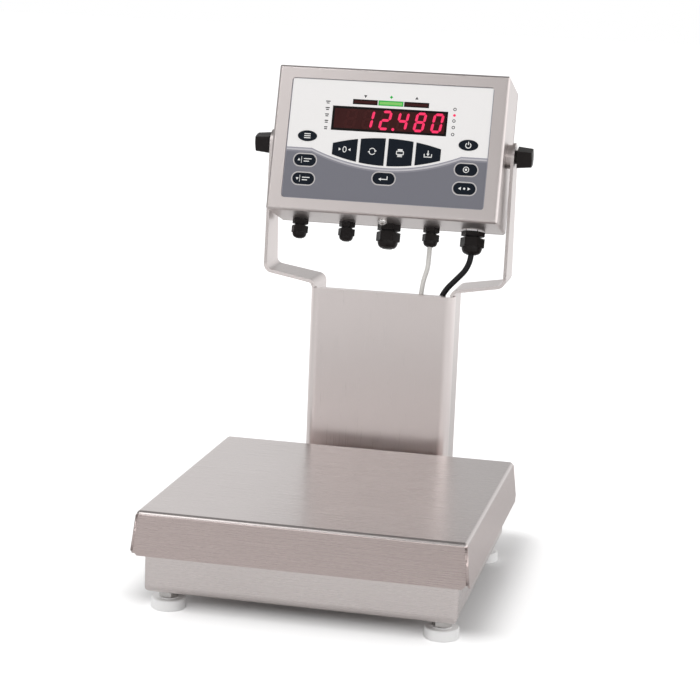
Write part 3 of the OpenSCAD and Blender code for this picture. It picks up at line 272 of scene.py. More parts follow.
def sum_of(tree, operation, first, second):
    """Result of one arithmetic step."""
    return add(tree, "Math", {0: first, 1: second}, operation=operation).outputs[0]


def vector_of(tree, operation, *values):
    """Result of one vector step, which for a length is a number."""
    node = add(tree, "VectorMath", dict(enumerate(values)), operation=operation)
    return node.outputs["Value" if operation == "LENGTH" else "Vector"]


def over_paint(tree, mask, under, over):
    """Colour under, with colour over wherever the mask is 1."""
    return add(tree, "Mix", {0: mask, 6: under, 7: over}, data_type="RGBA").outputs[2]


def object_axis(tree, axis):
    """Place along one axis of the object's own coordinates."""
    place = add(tree, "TexCoord")
    return add(tree, "SeparateXYZ", {"Vector": place.outputs["Object"]}).outputs[axis]


def grain_noise(tree, scale, detail=3):
    """Noise on Object coordinates stretched by a scale in waves per metre along each axis."""
    place = add(tree, "TexCoord")
    stretch = add(tree, "Mapping", {"Vector": place.outputs["Object"], "Scale": scale})
    return add(
        tree, "TexNoise",
        {"Vector": stretch.outputs["Vector"], "Scale": 1, "Detail": detail, "Roughness": 0.6},
    ).outputs["Fac"]


def tinted(tree, noise, base, spread):
    """Base colour that the noise makes a little darker or lighter."""
    dark = rgba([c * (1 - spread) for c in base])
    light = rgba([min(1, c * (1 + spread)) for c in base])
    return over_paint(tree, noise, dark, light)


def remap(tree, value, start, end, low, high, course="SMOOTHSTEP"):
    """Value that runs from low to high between two places, as a soft step unless told otherwise."""
    return add(
        tree, "MapRange",
        {"Value": value, "From Min": start, "From Max": end, "To Min": low, "To Max": high},
        interpolation_type=course,
    ).outputs["Result"]


def ranged(tree, noise, low, high):
    """Noise from about 0.3 to 0.7 turned into a value from low to high."""
    return remap(tree, noise, 0.3, 0.7, low, high, "LINEAR")


def relief(tree, noise, depth):
    """Bump of a depth in metres."""
    return add(tree, "Bump", {"Strength": 1, "Distance": depth, "Height": noise}).outputs["Normal"]


def brushed(name, run, grain, dull=0, tone=1):
    """Brushed stainless sheet: axes and strength of its lines, added haze, and how pale it is."""
    metals = settings().metals
    sheet = [part * tone for part in metals.sheet]
    finish, tree, shader = start_finish(name)
    along = 1 / metals.grain_run
    across = 1 / metals.grain_pitch
    lines = grain_noise(tree, [along if axis in run else across for axis in "XYZ"])
    # Slow clouds keep a large sheet from looking evenly lit, as handled steel never is.
    clouds = grain_noise(tree, (9, 9, 9), 2)
    streaks = tinted(tree, lines, sheet, 0.05 * grain)
    set_sockets(tree, shader, {
        "Base Color": over_paint(tree, 0.5, streaks, tinted(tree, clouds, sheet, 0.06)),
        "Metallic": 1,
        "Roughness": ranged(tree, lines, metals.satin + dull - 0.04, metals.satin + dull + 0.08),
        "Normal": relief(tree, lines, metals.grain_depth * grain),
    })
    return finish


def platter_steel():
    """Platter sheet brushed from side to side; below its top its sides take a darker colour, which is
    painted shade.
    """
    finish = brushed("platter_steel", "X", 0.5, 0, 0.85)
    tree = finish.node_tree
    shader = next(node for node in tree.nodes if node.type == "BSDF_PRINCIPLED")
    # Below the top bend, the sides and their corner welds get the darker colour as painted shade.
    shaded_skirt = sum_of(tree, "LESS_THAN", object_axis(tree, "Z"), PLATTER_HIGH.z - 3 * MM)
    top = shader.inputs["Base Color"].links[0].from_socket
    set_sockets(tree, shader, {"Base Color": over_paint(tree, shaded_skirt, top, rgba(settings().metals.shaded_skirt))})
    return finish


def wall_steel():
    """Tray and bracket sheet brushed along its walls, so the light lies in level streaks."""
    return brushed("wall_steel", "XY", 0.45)


def column_steel():
    """Column sheet brushed upright, which draws highlights out along the bends."""
    # The tone of 1.14 is painted light: the same stainless as the other sheets, made paler for the bright
    # reflections on the column's face.
    return brushed("column_steel", "Z", 0.4, 0.06, 1.14)


def yoke_steel():
    """Strip of the yoke and its bosses, brushed upright like the column and a little darker."""
    return brushed("yoke_steel", "Z", 0.4, 0.06, 0.92)


def case_steel():
    """Indicator sheet with a fine blasted grain of no direction, a calm even frame round the panel."""
    return brushed("case_steel", "", 0.12, 0.07, 0.92)


def tooled(name, tint, waves, detail, spread, gloss, depth=0):
    """Machined metal whose tool marks vary its colour, its roughness and its relief."""
    finish, tree, shader = start_finish(name)
    marks = grain_noise(tree, waves, detail)
    set_sockets(tree, shader, {
        "Base Color": tinted(tree, marks, tint, spread),
        "Metallic": 1,
        "Roughness": ranged(tree, marks, *gloss),
    })
    if depth:
        set_sockets(tree, shader, {"Normal": relief(tree, marks, depth)})
    return finish


def turned_steel():
    """Bright turned steel of nuts, screws and studs, its tool marks about 0.3 mm apart."""
    tint = settings().metals.bright
    return tooled("turned_steel", tint, (900, 900, 3000), 2, 0.1, (0.16, 0.3), 0.000006)


def milled_aluminium():
    """Milled aluminium of the load cell: paler than steel, with fine cutter lines across it."""
    tint = settings().metals.aluminium
    return tooled("milled_aluminium", tint, (2200, 40, 40), 3, 0.06, (0.3, 0.42), 0.00001)


def brass_posts():
    """Turned brass of the board posts, warm and slightly dulled."""
    return tooled("brass_posts", settings().metals.brass, (1200, 1200, 1200), 3, 0.12, (0.24, 0.4))


# Each moulding's lowest and highest roughness, the depth of its grain and how strongly it mirrors.
MOULDINGS = {
    "white_nylon": (0.4, 0.55, 0.00002, 0.5),
    "black_nylon": (0.36, 0.52, 0.00003, 0.22),
    "soft_rubber": (0.75, 0.9, 0.00004, 0.5),
    "lead_jacket": (0.42, 0.56, 0.00001, 0.22),
    "cell_jacket": (0.4, 0.52, 0.00001, 0.5),
    "supply_case": (0.4, 0.55, 0.00002, 0.5),
}


def moulding(name):
    """Moulded plastic or rubber with a fine surface grain and slightly uneven gloss."""
    plastics = settings().plastics
    low, high, depth, shine = MOULDINGS[name]
    finish, tree, shader = start_finish(name)
    pitch = 1 / plastics.grain
    pores = grain_noise(tree, (pitch, pitch, pitch))
    # Handling marks are centimetres long and only change the gloss and the tone.
    marks = grain_noise(tree, (60, 60, 60), 4)
    set_sockets(tree, shader, {
        "Base Color": tinted(tree, marks, getattr(plastics, name), 0.08),
        "Specular IOR Level": shine,
        "Roughness": ranged(tree, marks, low, high),
        "Normal": relief(tree, pores, depth),
    })
    return finish


def board_laminate():
    """Green solder mask over copper tracks: paler lines on a glossy green."""
    plastics = settings().plastics
    finish, tree, shader = start_finish("board_laminate")
    tracks = grain_noise(tree, (220, 220, 220), 1)
    set_sockets(tree, shader, {
        "Base Color": tinted(tree, tracks, plastics.laminate, 0.3),
        "Roughness": 0.35,
        "Normal": relief(tree, tracks, 0.00003),
    })
    return finish


def plug_moulding():
    """Black plug moulding whose pins, ahead of its face, are bare brass."""
    finish, tree, shader = start_finish("plug_moulding")
    pin_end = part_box("power_plug")[0].y + 17 * MM
    pin = sum_of(tree, "LESS_THAN", object_axis(tree, "Y"), pin_end)
    pores = grain_noise(tree, (1600, 1600, 1600))
    black = tinted(tree, pores, settings().plastics.lead_jacket, 0.1)
    set_sockets(tree, shader, {
        "Base Color": over_paint(tree, pin, black, rgba(settings().metals.brass)),
        "Metallic": pin,
        "Roughness": ranged(tree, pores, 0.38, 0.5),
        "Normal": relief(tree, pores, 0.00002),
    })
    return finish


def panel_place(tree):
    """Place on the panel in millimetres: across, up and out."""
    place = add(tree, "TexCoord")
    turned = add(
        tree, "Mapping",
        {
            "Vector": place.outputs["Object"], "Location": PIVOT, "Rotation": (FACE_TURN, 0, 0),
            "Scale": (MM, MM, MM),
        },
        vector_type="TEXTURE",
    )
    split = add(tree, "SeparateXYZ", {"Vector": turned.outputs["Vector"]})
    return split.outputs["X"], split.outputs["Y"]


def film_surface(tree, shader, low, high):
    """Fine satin texture of printed film."""
    pores = grain_noise(tree, (2500, 2500, 2500), 2)
    set_sockets(tree, shader, {
        "Specular IOR Level": 0.12,
        "Roughness": ranged(tree, pores, low, high),
        "Normal": relief(tree, pores, 0.000008),
    })


def overlay_film():
    """Printed overlay: white above an arched band of three lines, plain grey below it."""
    panel = settings().panel
    finish, tree, shader = start_finish("overlay_film")
    across, up = panel_place(tree)
    # The band is a shallow bowl in millimetres: its lowest point, how it bends and where it levels out.
    lowest, bend, level = -26.1, 0.00268, -9.8
    square = sum_of(tree, "MULTIPLY", across, across)
    arch = sum_of(tree, "ADD", sum_of(tree, "MULTIPLY", square, bend), lowest)
    top = sum_of(tree, "MINIMUM", arch, level)
    below = sum_of(tree, "SUBTRACT", top, up)
    paint = rgba(panel.white)
    for depth, tint in ((0, panel.edge), (1.3, panel.band), (3, panel.shade), (4.7, panel.field)):
        paint = over_paint(tree, sum_of(tree, "GREATER_THAN", below, depth), paint, rgba(tint))
    # A thin grey line round the film's edge is painted shade: the shadow gap of the recess the film sits
    # in.
    low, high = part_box("keypad_overlay")
    half_width = (high.x - low.x) / 2 / MM
    rim = window_edge(tree, across, up, half_width, middle=0, half_height=63, edge=0.7)
    paint = over_paint(tree, rim, paint, rgba(panel.edge))
    set_sockets(tree, shader, {"Base Color": paint})
    film_surface(tree, shader, 0.3, 0.42)
    return finish


def window_edge(tree, across, up, half_width, middle, half_height, edge):
    """Mask of the dark edge of a window on the panel."""
    side = sum_of(tree, "GREATER_THAN", sum_of(tree, "ABSOLUTE", across, 0), half_width - edge)
    height = sum_of(tree, "ABSOLUTE", sum_of(tree, "SUBTRACT", up, middle), 0)
    end = sum_of(tree, "GREATER_THAN", height, half_height - edge)
    return sum_of(tree, "MAXIMUM", side, end)


def display_filter():
    """Polished red filter over the figures: nearly black brown with a dark printed edge."""
    panel = settings().panel
    finish, tree, shader = start_finish("display_filter")
    across, up = panel_place(tree)
    edge = window_edge(tree, across, up, half_width=60, middle=23, half_height=12.6, edge=2.3)
    haze = grain_noise(tree, (40, 40, 40), 2)
    set_sockets(tree, shader, {
        "Base Color": over_paint(
            tree, edge, tinted(tree, haze, panel.filter_red, 0.12), rgba(panel.filter_edge)
        ),
        "Specular IOR Level": 0.14,
        "Roughness": ranged(tree, haze, 0.2, 0.3),
    })
    return finish


def status_filter():
    """Three status windows: the middle one lit green, the outer two dark red."""
    panel = settings().panel
    finish, tree, shader = start_finish("status_filter")
    across, up = panel_place(tree)
    pitch = 26.8
    outer = sum_of(tree, "GREATER_THAN", sum_of(tree, "ABSOLUTE", across, 0), pitch / 2)
    wrap = add(tree, "Math", {0: across, 1: pitch / 2, 2: -pitch / 2}, operation="WRAP").outputs[0]
    edge = window_edge(tree, wrap, up, half_width=12.8, middle=41, half_height=2.5, edge=1.1)
    haze = grain_noise(tree, (300, 300, 300), 2)
    inside = over_paint(tree, outer, tinted(tree, haze, panel.accept, 0.1), rgba(panel.filter_red))
    border = over_paint(tree, outer, rgba(panel.accept_edge), rgba(panel.filter_edge))
    paint = over_paint(tree, edge, inside, border)
    set_sockets(tree, shader, {
        "Base Color": paint,
        "Specular IOR Level": 0.14,
        "Roughness": ranged(tree, haze, 0.22, 0.32),
    })
    return finish


def printed_ink(name, tint, waves=700, spread=0.05, low=0.35, high=0.5):
    """Printed ink: an even colour whose gloss is broken by the film below."""
    finish, tree, shader = start_finish(name)
    shade = grain_noise(tree, (waves, waves, waves), 2)
    set_sockets(tree, shader, {"Base Color": tinted(tree, shade, tint, spread)})
    film_surface(tree, shader, low, high)
    return finish


def key_film():
    """Key pads in dark blue film with a fine embossed texture."""
    return printed_ink("key_film", settings().panel.key, 250, 0.15, 0.34, 0.46)


def lit_ink(name, tint, strength):
    """Lit bar of the display: its own light, a little uneven along the bar."""
    finish, tree, shader = start_finish(name)
    shade = grain_noise(tree, (400, 400, 400), 2)
    glow = tinted(tree, shade, tint, 0.08)
    set_sockets(tree, shader, {
        "Base Color": rgba([c * 0.2 for c in tint]),
        "Emission Color": glow,
        "Emission Strength": strength,
        "Roughness": 0.4,
    })
    return finish


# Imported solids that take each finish.
FINISHES = {
    platter_steel: ["platter"],
    wall_steel: ["base_tray", "column_bracket", "column_crossbar"],
    column_steel: ["column_cover"],
    yoke_steel: ["yoke_arm_left", "yoke_arm_right", "pivot_bosses"],
    case_steel: ["indicator_shell", "rear_cover"],
    turned_steel: [
        "foot_lock_nuts", "overload_stops", "bracket_bolts", "cell_lower_bolts", "cell_upper_bolts",
        "rear_cover_screws", "service_screw", "knob_stud_left", "knob_stud_right",
        "foot_bosses", "spider",
    ],
    milled_aluminium: ["load_cell", "cell_lower_block", "cell_upper_block"],
    partial(moulding, "white_nylon"): [
        "foot_front_left", "foot_front_right", "foot_rear_left", "foot_rear_right",
    ],
    partial(moulding, "black_nylon"): [
        "gland_bodies", "gland_nuts", "gland_lock_nuts", "knob_left", "knob_right", "cable_clips",
    ],
    partial(moulding, "soft_rubber"): ["platter_cushions", "cable_grommet", "rear_gasket"],
    plug_moulding: ["power_plug"],
    overlay_film: ["keypad_overlay"],
    display_filter: ["display_window"],
    status_filter: ["status_windows"],
    key_film: [node for node in NODES if node.startswith("key_")],
    board_laminate: ["display_board", "main_board"],
    partial(moulding, "supply_case"): ["power_supply"],
    brass_posts: ["board_standoffs"],
}


def show(name, data):
    """New object in the scene."""
    obj = bpy.data.objects.new(name, data)
    bpy.context.scene.collection.objects.link(obj)
    return obj


def flat(bm, corners):
    """Flat face from a few corners."""
    return bm.faces.new([bm.verts.new((x, y, 0)) for x, y in corners])


def turned_place(x, y, turn):
    """Place in the plane, turned by degrees."""
    return Matrix.Translation((x, y, 0)) @ Matrix.Rotation(math.radians(turn), 4, "Z")


def bar(bm, x, y, width, height, turn=0):
    """Flat bar about its middle, turned by degrees."""
    made = bmesh.ops.create_grid(bm, x_segments=1, y_segments=1, size=0.5)
    size = Matrix.Diagonal((width, height, 1, 1))
    bmesh.ops.transform(bm, matrix=turned_place(x, y, turn) @ size, verts=made["verts"])


def rounded(bm, x, y, width, height, radius):
    """Flat bar with round corners."""
    half_w, half_h = width / 2, height / 2
    turns = ((-1, -1), (1, -1), (1, 1), (-1, 1))
    face = flat(bm, [(x + right * half_w, y + high * half_h) for right, high in turns])
    made = bmesh.ops.bevel(
        bm, geom=list(face.verts), offset=radius, affect="VERTICES", segments=8, profile=0.5, material=-1
    )
    return made["verts"][0].link_faces[0]


def hollow(bm, face, wall):
    """Leaves only a rim of a flat face."""
    bmesh.ops.inset_region(bm, faces=[face], thickness=wall, use_even_offset=True, use_boundary=True)
    bmesh.ops.delete(bm, geom=[face], context="FACES_ONLY")


def disc(bm, x, y, radius):
    """Flat round dot."""
    made = bmesh.ops.create_circle(
        bm, cap_ends=True, segments=32, radius=radius, matrix=Matrix.Translation((x, y, 0))
    )
    return made["verts"][0].link_faces[0]


def ring(bm, x, y, radius, wall):
    """Flat ring given by its outer radius."""
    hollow(bm, disc(bm, x, y, radius), wall)


def arc(bm, x, y, radius, wall, start, sweep):
    """Part of a flat ring about its middle line, in degrees."""
    first = math.radians(start)
    aim = Vector((math.cos(first), math.sin(first), 0))
    ends = [bm.verts.new(Vector((x, y, 0)) + aim * (radius + side * wall / 2)) for side in (-1, 1)]
    edge = bm.edges.new(ends)
    bmesh.ops.spin(
        bm, geom=[edge, *ends], cent=(x, y, 0), axis=(0, 0, 1), angle=math.radians(sweep),
        steps=max(4, int(abs(sweep) / 10)), use_merge=False,
    )


def wedge(bm, x, y, size, turn):
    """Flat triangle about its middle; at no turn it points up."""
    made = bmesh.ops.create_circle(bm, cap_ends=True, segments=3, radius=size)
    bmesh.ops.transform(bm, matrix=turned_place(x, y, turn), verts=made["verts"])


def lift(bm, height):
    """Gives flat marks their thickness, half of it below the plane."""
    faces = list(bm.faces)
    made = bmesh.ops.extrude_face_region(bm, geom=faces, use_keep_orig=True)
    raised = [item for item in made["geom"] if isinstance(item, bmesh.types.BMVert)]
    bmesh.ops.translate(bm, vec=(0, 0, height), verts=raised)
    bmesh.ops.translate(bm, vec=(0, 0, -height / 2), verts=bm.verts)


def keep(name, bm, finish, body, place=None):
    """Stores a bmesh as a finished piece that rides on a body."""
    if place is not None:
        bmesh.ops.transform(bm, matrix=place, verts=bm.verts)
    bmesh.ops.remove_doubles(bm, verts=bm.verts, dist=1e-7)
    bmesh.ops.recalc_face_normals(bm, faces=bm.faces)
    mesh = bpy.data.meshes.new(name)
    bm.to_mesh(mesh)
    bm.free()
    obj = show(name, mesh)
    mesh.materials.append(finish)
    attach(obj, body)
    return obj


def print_mark(name, bm, finish, body="indicator", out=OVERLAY_FACE):
    """Prints flat marks on the panel at a height in millimetres above the tilt axis."""
    lift(bm, settings().panel.ink_height / MM)
    return keep(name, bm, finish, body, PANEL @ Matrix.Translation((0, 0, out)))


def place_mm(x, y, z):
    """Point in metres from millimetres about the platter's middle on the floor."""
    return Vector((x * MM, y * MM + PLATTER_Y, z * MM))


def smooth_route(points, steps):
    """Even curve through the points of a route."""
    ends = [2 * points[0] - points[1], *points, 2 * points[-1] - points[-2]]
    path = []
    for before, first, second, after in zip(ends, ends[1:], ends[2:], ends[3:]):
        for step in range(steps):
            t = step / steps
            path.append(0.5 * (
                2 * first + (second - before) * t
                + (2 * before - 5 * first + 4 * second - after) * t * t
                + (3 * first - before - 3 * second + after) * t * t * t
            ))
    return [*path, points[-1]]


def coil_turns():
    """Two flat layers of the stored lead: inwards on the floor, up beside the core, outwards on top."""
    cables = settings().cables
    middle = place_mm(*COIL_MIDDLE, 0)
    steps = 20
    core = cables.coil_radius - 3 * cables.coil_pitch
    points = []
    for step in range(6 * steps + steps // 2 + 1):
        turn = step / steps
        if turn <= 3:
            radius, height = cables.coil_radius - turn * cables.coil_pitch, cables.coil_low
        elif turn <= 3.5:
            rise = math.sin((turn - 3) * math.pi)
            radius, height = core, cables.coil_low + (cables.coil_high - cables.coil_low) * rise
        else:
            radius, height = core + (turn - 3.5) * cables.coil_pitch, cables.coil_high
        angle = turn * 2 * math.pi
        points.append(middle + Vector((radius * math.cos(angle), radius * math.sin(angle), height)))
    return points


def cable_tube(name, path, diameter, finish):
    """Round jacket along a path, as a mesh with closed ends."""
    data = bpy.data.curves.new(name + "_line", "CURVE")
    data.dimensions = "3D"
    data.bevel_depth = diameter / 2
    data.bevel_resolution = 4
    data.use_fill_caps = True
    spline = data.splines.new("POLY")
    spline.points.add(len(path) - 1)
    for point, place in zip(spline.points, path):
        point.co = (*place, 1)
    line = show(name + "_line", data)
    mesh = bpy.data.meshes.new_from_object(line.evaluated_get(bpy.context.evaluated_depsgraph_get()))
    bpy.data.objects.remove(line)
    bpy.data.curves.remove(data)
    mesh.name = name
    mesh.polygons.foreach_set("use_smooth", [True] * len(mesh.polygons))
    mesh.materials.clear()
    mesh.materials.append(finish)
    obj = show(name, mesh)
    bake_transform(obj)
    return obj


class CHECKWEIGHER_OT_camera(bpy.types.Operator):
    """Places the camera that the object is seen through"""

    bl_idname = "checkweigher.camera"
    bl_label = "Camera"

    def execute(self, context):
        data = bpy.data.cameras.new("camera")
        data.sensor_width = 36
        data.lens = settings().stage.lens
        data.clip_start = 0.05
        data.clip_end = 200
        camera = show("camera", data)
        right = Vector((0.97621, 0.21312, 0.03986))
        up = Vector((-0.0799, 0.18272, 0.9799))
        back = Vector((0.20156, -0.95978, 0.1954))
        turn = Matrix((right, up, back)).transposed().to_4x4()
        spot = place_mm(384.194, -1790.937, 595.989)
        camera.matrix_world = Matrix.Translation(spot) @ turn
        context.scene.camera = camera
        return {"FINISHED"}


class CHECKWEIGHER_OT_power_lead(bpy.types.Operator):
    """Lays the power lead from its gland down the column into the stored coil and its plug"""

    bl_idname = "checkweigher.power_lead"
    bl_label = "Power lead"

    def execute(self, context):
        cables = settings().cables
        route = [place_mm(*point) for point in LEAD_ROUTE] + coil_turns()
        route += [place_mm(*point) for point in PLUG_END]
        path = smooth_route(route, 4)
        jacket = moulding("lead_jacket")
        lead = cable_tube("power_lead_jacket", path, cables.lead_diameter, jacket)
        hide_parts("power_lead", "power_lead_coil")
        bm = bmesh.new()
        thick, slack = 0.5, 1.4
        wide = 3 * cables.coil_pitch / MM + cables.lead_diameter / MM + slack
        high = (cables.coil_high - cables.coil_low + cables.lead_diameter) / MM + slack
        hollow(bm, rounded(bm, 0, 0, wide, high, 3), thick)
        lift(bm, cables.tie_width / MM)
        lane = (cables.coil_radius - 1.75 * cables.coil_pitch) / MM
        spot = place_mm(COIL_MIDDLE[0], COIL_MIDDLE[1] + lane, high / 2 + 0.05)
        stand = Matrix.Rotation(math.radians(90), 4, "Z") @ Matrix.Rotation(math.radians(90), 4, "X")
        tie = keep(
            "coil_tie", bm, moulding("black_nylon"), "base",
            Matrix.Translation(spot) @ stand @ Matrix.Scale(MM, 4),
        )
        return {"FINISHED"}


class CHECKWEIGHER_OT_cell_cable(bpy.types.Operator):
    """Lays the white load cell cable from its gland down the column and into the base"""

    bl_idname = "checkweigher.cell_cable"
    bl_label = "Load cell cable"

    def execute(self, context):
        cables = settings().cables
        path = smooth_route([place_mm(*point) for point in CELL_ROUTE], 5)
        jacket = moulding("cell_jacket")
        cable = cable_tube("load_cell_jacket", path, cables.cell_diameter, jacket)
        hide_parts("load_cell_cable")
        return {"FINISHED"}


class CHECKWEIGHER_OT_finishes(bpy.types.Operator):
    """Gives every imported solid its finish"""

    bl_idname = "checkweigher.finishes"
    bl_label = "Finishes of the solids"

    def execute(self, context):
        for make, nodes in FINISHES.items():
            finish = make()
            for node in nodes:
                NODES[node].data.materials.clear()
                NODES[node].data.materials.append(finish)
        return {"FINISHED"}


def menu_mark(bm, x, y):
    """Three level bars."""
    for row in (-2.1, 0, 2.1):
        bar(bm, x, y + row, 6.6, 0.95)


def power_mark(bm, x, y):
    """Broken ring with an upright bar."""
    arc(bm, x, y - 0.3, 2.7, 0.85, 125, 290)
    bar(bm, x, y + 1.9, 0.85, 3.2)


def zero_mark(bm, x, y):
    """Nought between two pointers."""
    made = disc(bm, x, y, 3.2)
    bmesh.ops.scale(
        bm, vec=(0.66, 1, 1), verts=list(made.verts), space=Matrix.Translation((-x, -y, 0))
    )
    hollow(bm, made, 0.8)
    wedge(bm, x - 5.4, y, 1.7, 30)
    wedge(bm, x + 5.4, y, 1.7, 90)


def units_mark(bm, x, y):
    """Two turning pointers."""
    for turn in (0, 180):
        arc(bm, x, y, 3.2, 0.8, turn + 20, 130)
        aim = math.radians(turn + 10)
        wedge(bm, x + 3.2 * math.cos(aim), y + 3.2 * math.sin(aim), 1.5, turn + 160)


def print_mark_shape(bm, x, y):
    """Sheet in a printer."""
    hollow(bm, rounded(bm, x, y - 0.3, 8, 4, 0.8), 0.8)
    bar(bm, x, y + 2.8, 5, 1.6)
    bar(bm, x, y - 2.9, 5, 0.8)
    bar(bm, x, y - 4.1, 5, 0.8)


def tare_mark(bm, x, y):
    """Open tray with a pointer into it."""
    bar(bm, x, y - 3, 8.4, 0.85)
    for side in (-1, 1):
        bar(bm, x + side * 3.8, y - 1.4, 0.85, 3)
    wedge(bm, x, y - 0.3, 1.8, 180)
    bar(bm, x, y + 2.2, 0.9, 3)


def step_mark(bm, x, y, turn):
    """Pointer, upright divider and a bar."""
    wedge(bm, x - 6.3, y, 1.7, turn)
    bar(bm, x - 3.6, y, 0.45, 7)
    bar(bm, x + 2.8, y + 1.3, 8, 0.9)
    bar(bm, x + 1.6, y - 1.3, 5.6, 0.9)


def enter_mark(bm, x, y):
    """Pointer that turns back to the left."""
    bar(bm, x + 0.6, y - 0.8, 7, 0.9)
    bar(bm, x + 3.7, y + 0.9, 0.9, 3.4)
    wedge(bm, x - 3.5, y - 0.8, 1.8, 90)


def target_mark(bm, x, y):
    """Ring round a dot."""
    ring(bm, x, y, 3.2, 0.75)
    disc(bm, x, y, 1.2)


def select_mark(bm, x, y):
    """Two pointers away from a dot."""
    wedge(bm, x - 4.4, y, 1.9, 90)
    wedge(bm, x + 4.4, y, 1.9, 30)
    disc(bm, x, y, 1.1)


class CHECKWEIGHER_OT_load_cell(bpy.types.Operator):
    """Lets the load cell bend between its fixed end and the end that carries the platter"""
    # Puts a copy of the load cell's mesh in place of its solid

    bl_idname = "checkweigher.load_cell"
    bl_label = "Load cell"

    def execute(self, context):
        solid = NODES["load_cell"]
        mesh = solid.data.copy()
        mesh.name = "load_cell_beam"
        mesh.transform(solid.matrix_world)
        beam = show("load_cell_beam", mesh)
        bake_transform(beam)
        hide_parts("load_cell")
        return {"FINISHED"}


class CHECKWEIGHER_OT_corner_welds(bpy.types.Operator):
    """Closes the corners of the platter's skirt with ground weld beads"""

    bl_idname = "checkweigher.corner_welds"
    bl_label = "Corner welds"

    def execute(self, context):
        bm = bmesh.new()
        lean = math.tan(math.radians(6))
        bend = 4 * MM
        bead = 1.7 * MM
        middle = (PLATTER_LOW + PLATTER_HIGH) / 2
        half = (PLATTER_HIGH - PLATTER_LOW) / 2
        depth = 1.5 * MM
        top, bottom = PLATTER_HIGH.z - bend, PLATTER_LOW.z + bend

        def corner(sx, sy, z, inset):
            """Point on the skirt's corner line, set in from its edge."""
            reach = (z - PLATTER_LOW.z) * lean + inset
            return Vector((middle.x + sx * (half.x - reach), middle.y + sy * (half.y - reach), z))

        for sx, sy in ((-1, -1), (-1, 1), (1, -1), (1, 1)):
            start, end = corner(sx, sy, top, depth), corner(sx, sy, bottom, depth)
            run = end - start
            turn = run.to_track_quat("Z", "Y").to_matrix().to_4x4()
            bmesh.ops.create_cone(
                bm, cap_ends=True, segments=24, radius1=bead, radius2=bead, depth=run.length,
                matrix=Matrix.Translation((start + end) / 2) @ turn,
            )
            bmesh.ops.create_icosphere(
                bm, subdivisions=4, radius=bend - 0.05 * MM,
                matrix=Matrix.Translation(corner(sx, sy, top, bend)),
            )
        for face in bm.faces:
            face.smooth = True
        keep("platter_corner_welds", bm, NODES["platter"].data.materials[0], "platter")
        return {"FINISHED"}


class CHECKWEIGHER_OT_key_marks(bpy.types.Operator):
    """Prints one plain symbol on each key, which moves with its key"""

    bl_idname = "checkweigher.key_marks"
    bl_label = "Key symbols"

    def execute(self, context):
        legend = printed_ink("key_legend", settings().panel.legend)
        marks = {
            "key_menu": (menu_mark, -84, 2.5), "key_power": (power_mark, 84, 2.5),
            "key_zero": (zero_mark, -43.5, -9.4), "key_units": (units_mark, -14.5, -9.8),
            "key_print": (print_mark_shape, 14.5, -9.4), "key_tare": (tare_mark, 43.5, -9.2),
            "key_over": (partial(step_mark, turn=0), -84, -22.8),
            "key_under": (partial(step_mark, turn=60), -84, -42.3),
            "key_enter": (enter_mark, 0, -37.2), "key_target": (target_mark, 84, -22.8),
            "key_select": (select_mark, 84, -42.3),
        }
        for key, (draw, x, y) in marks.items():
            bm = bmesh.new()
            draw(bm, x, y)
            print_mark(key + "_symbol", bm, legend, key, KEY_FACE)
        return {"FINISHED"}


class CHECKWEIGHER_OT_overlay_marks(bpy.types.Operator):
    """Prints the rings round the pill keys and the small symbols beside the display"""

    bl_idname = "checkweigher.overlay_marks"
    bl_label = "Overlay symbols"

    def execute(self, context):
        panel = settings().panel
        bm = bmesh.new()
        for x, y in ((-84, -22.8), (-84, -42.3), (84, -22.8), (84, -42.3), (0, -37.2)):
            hollow(bm, rounded(bm, x, y, 25.4, 14.4, 7.1), 1.1)
        print_mark("key_rings", bm, printed_ink("ring_ink", panel.ring))
        bm = bmesh.new()
        wedge(bm, -27, 47.3, 1.9, 180)
        wedge(bm, 26.5, 47.6, 1.9, 0)
        for row, y in enumerate((39.9, 33.1, 26.4, 19.7, 12.9)):
            bar(bm, -65.7, y, 4.6 - 0.3 * row, 1.1)
            bar(bm, -65.7, y - 1.9, 3, 1)
        for y in (38.6, 26.6, 19.8, 12.6):
            ring(bm, 66.8, y, 1.7, 0.7)
        print_mark("dark_symbols", bm, printed_ink("dark_ink", panel.ink))
        bm = bmesh.new()
        bar(bm, 0, 47.5, 2.4, 2.4, 45)
        print_mark("accept_symbol", bm, printed_ink("green_ink", panel.accept_edge))
        bm = bmesh.new()
        disc(bm, 66.8, 32.4, 1.4)
        print_mark("lit_lamp", bm, lit_ink("lamp_red", panel.digit, 0.9))
        return {"FINISHED"}


def display_bars(bm, x, y, which):
    """Bars of one figure, leaning to the right."""
    panel = settings().panel
    high = panel.digit_height / MM
    wide = panel.digit_width / MM
    thick = panel.digit_bar / MM
    half = wide / 2 - thick / 2
    rise = high / 2 - thick / 2
    gap = 0.25
    before = set(bm.verts)
    spots = {
        "a": (0, rise, True), "g": (0, 0, True), "d": (0, -rise, True), "b": (half, rise / 2, False),
        "c": (half, -rise / 2, False), "e": (-half, -rise / 2, False), "f": (-half, rise / 2, False),
    }
    for letter in which:
        cx, cy, level = spots[letter]
        run = half - gap if level else rise / 2 - gap
        tip = thick / 2
        shape = (
            (-run, 0), (tip - run, -tip), (run - tip, -tip), (run, 0), (run - tip, tip), (tip - run, tip),
        )
        flat(bm, [(cx + a, cy + b) if level else (cx + b, cy - a) for a, b in shape])
    lean = Matrix.Identity(4)
    lean[0][1] = math.tan(math.radians(9))
    made = [v for v in bm.verts if v not in before]
    bmesh.ops.transform(bm, matrix=Matrix.Translation((x, y, 0)) @ lean, verts=made)


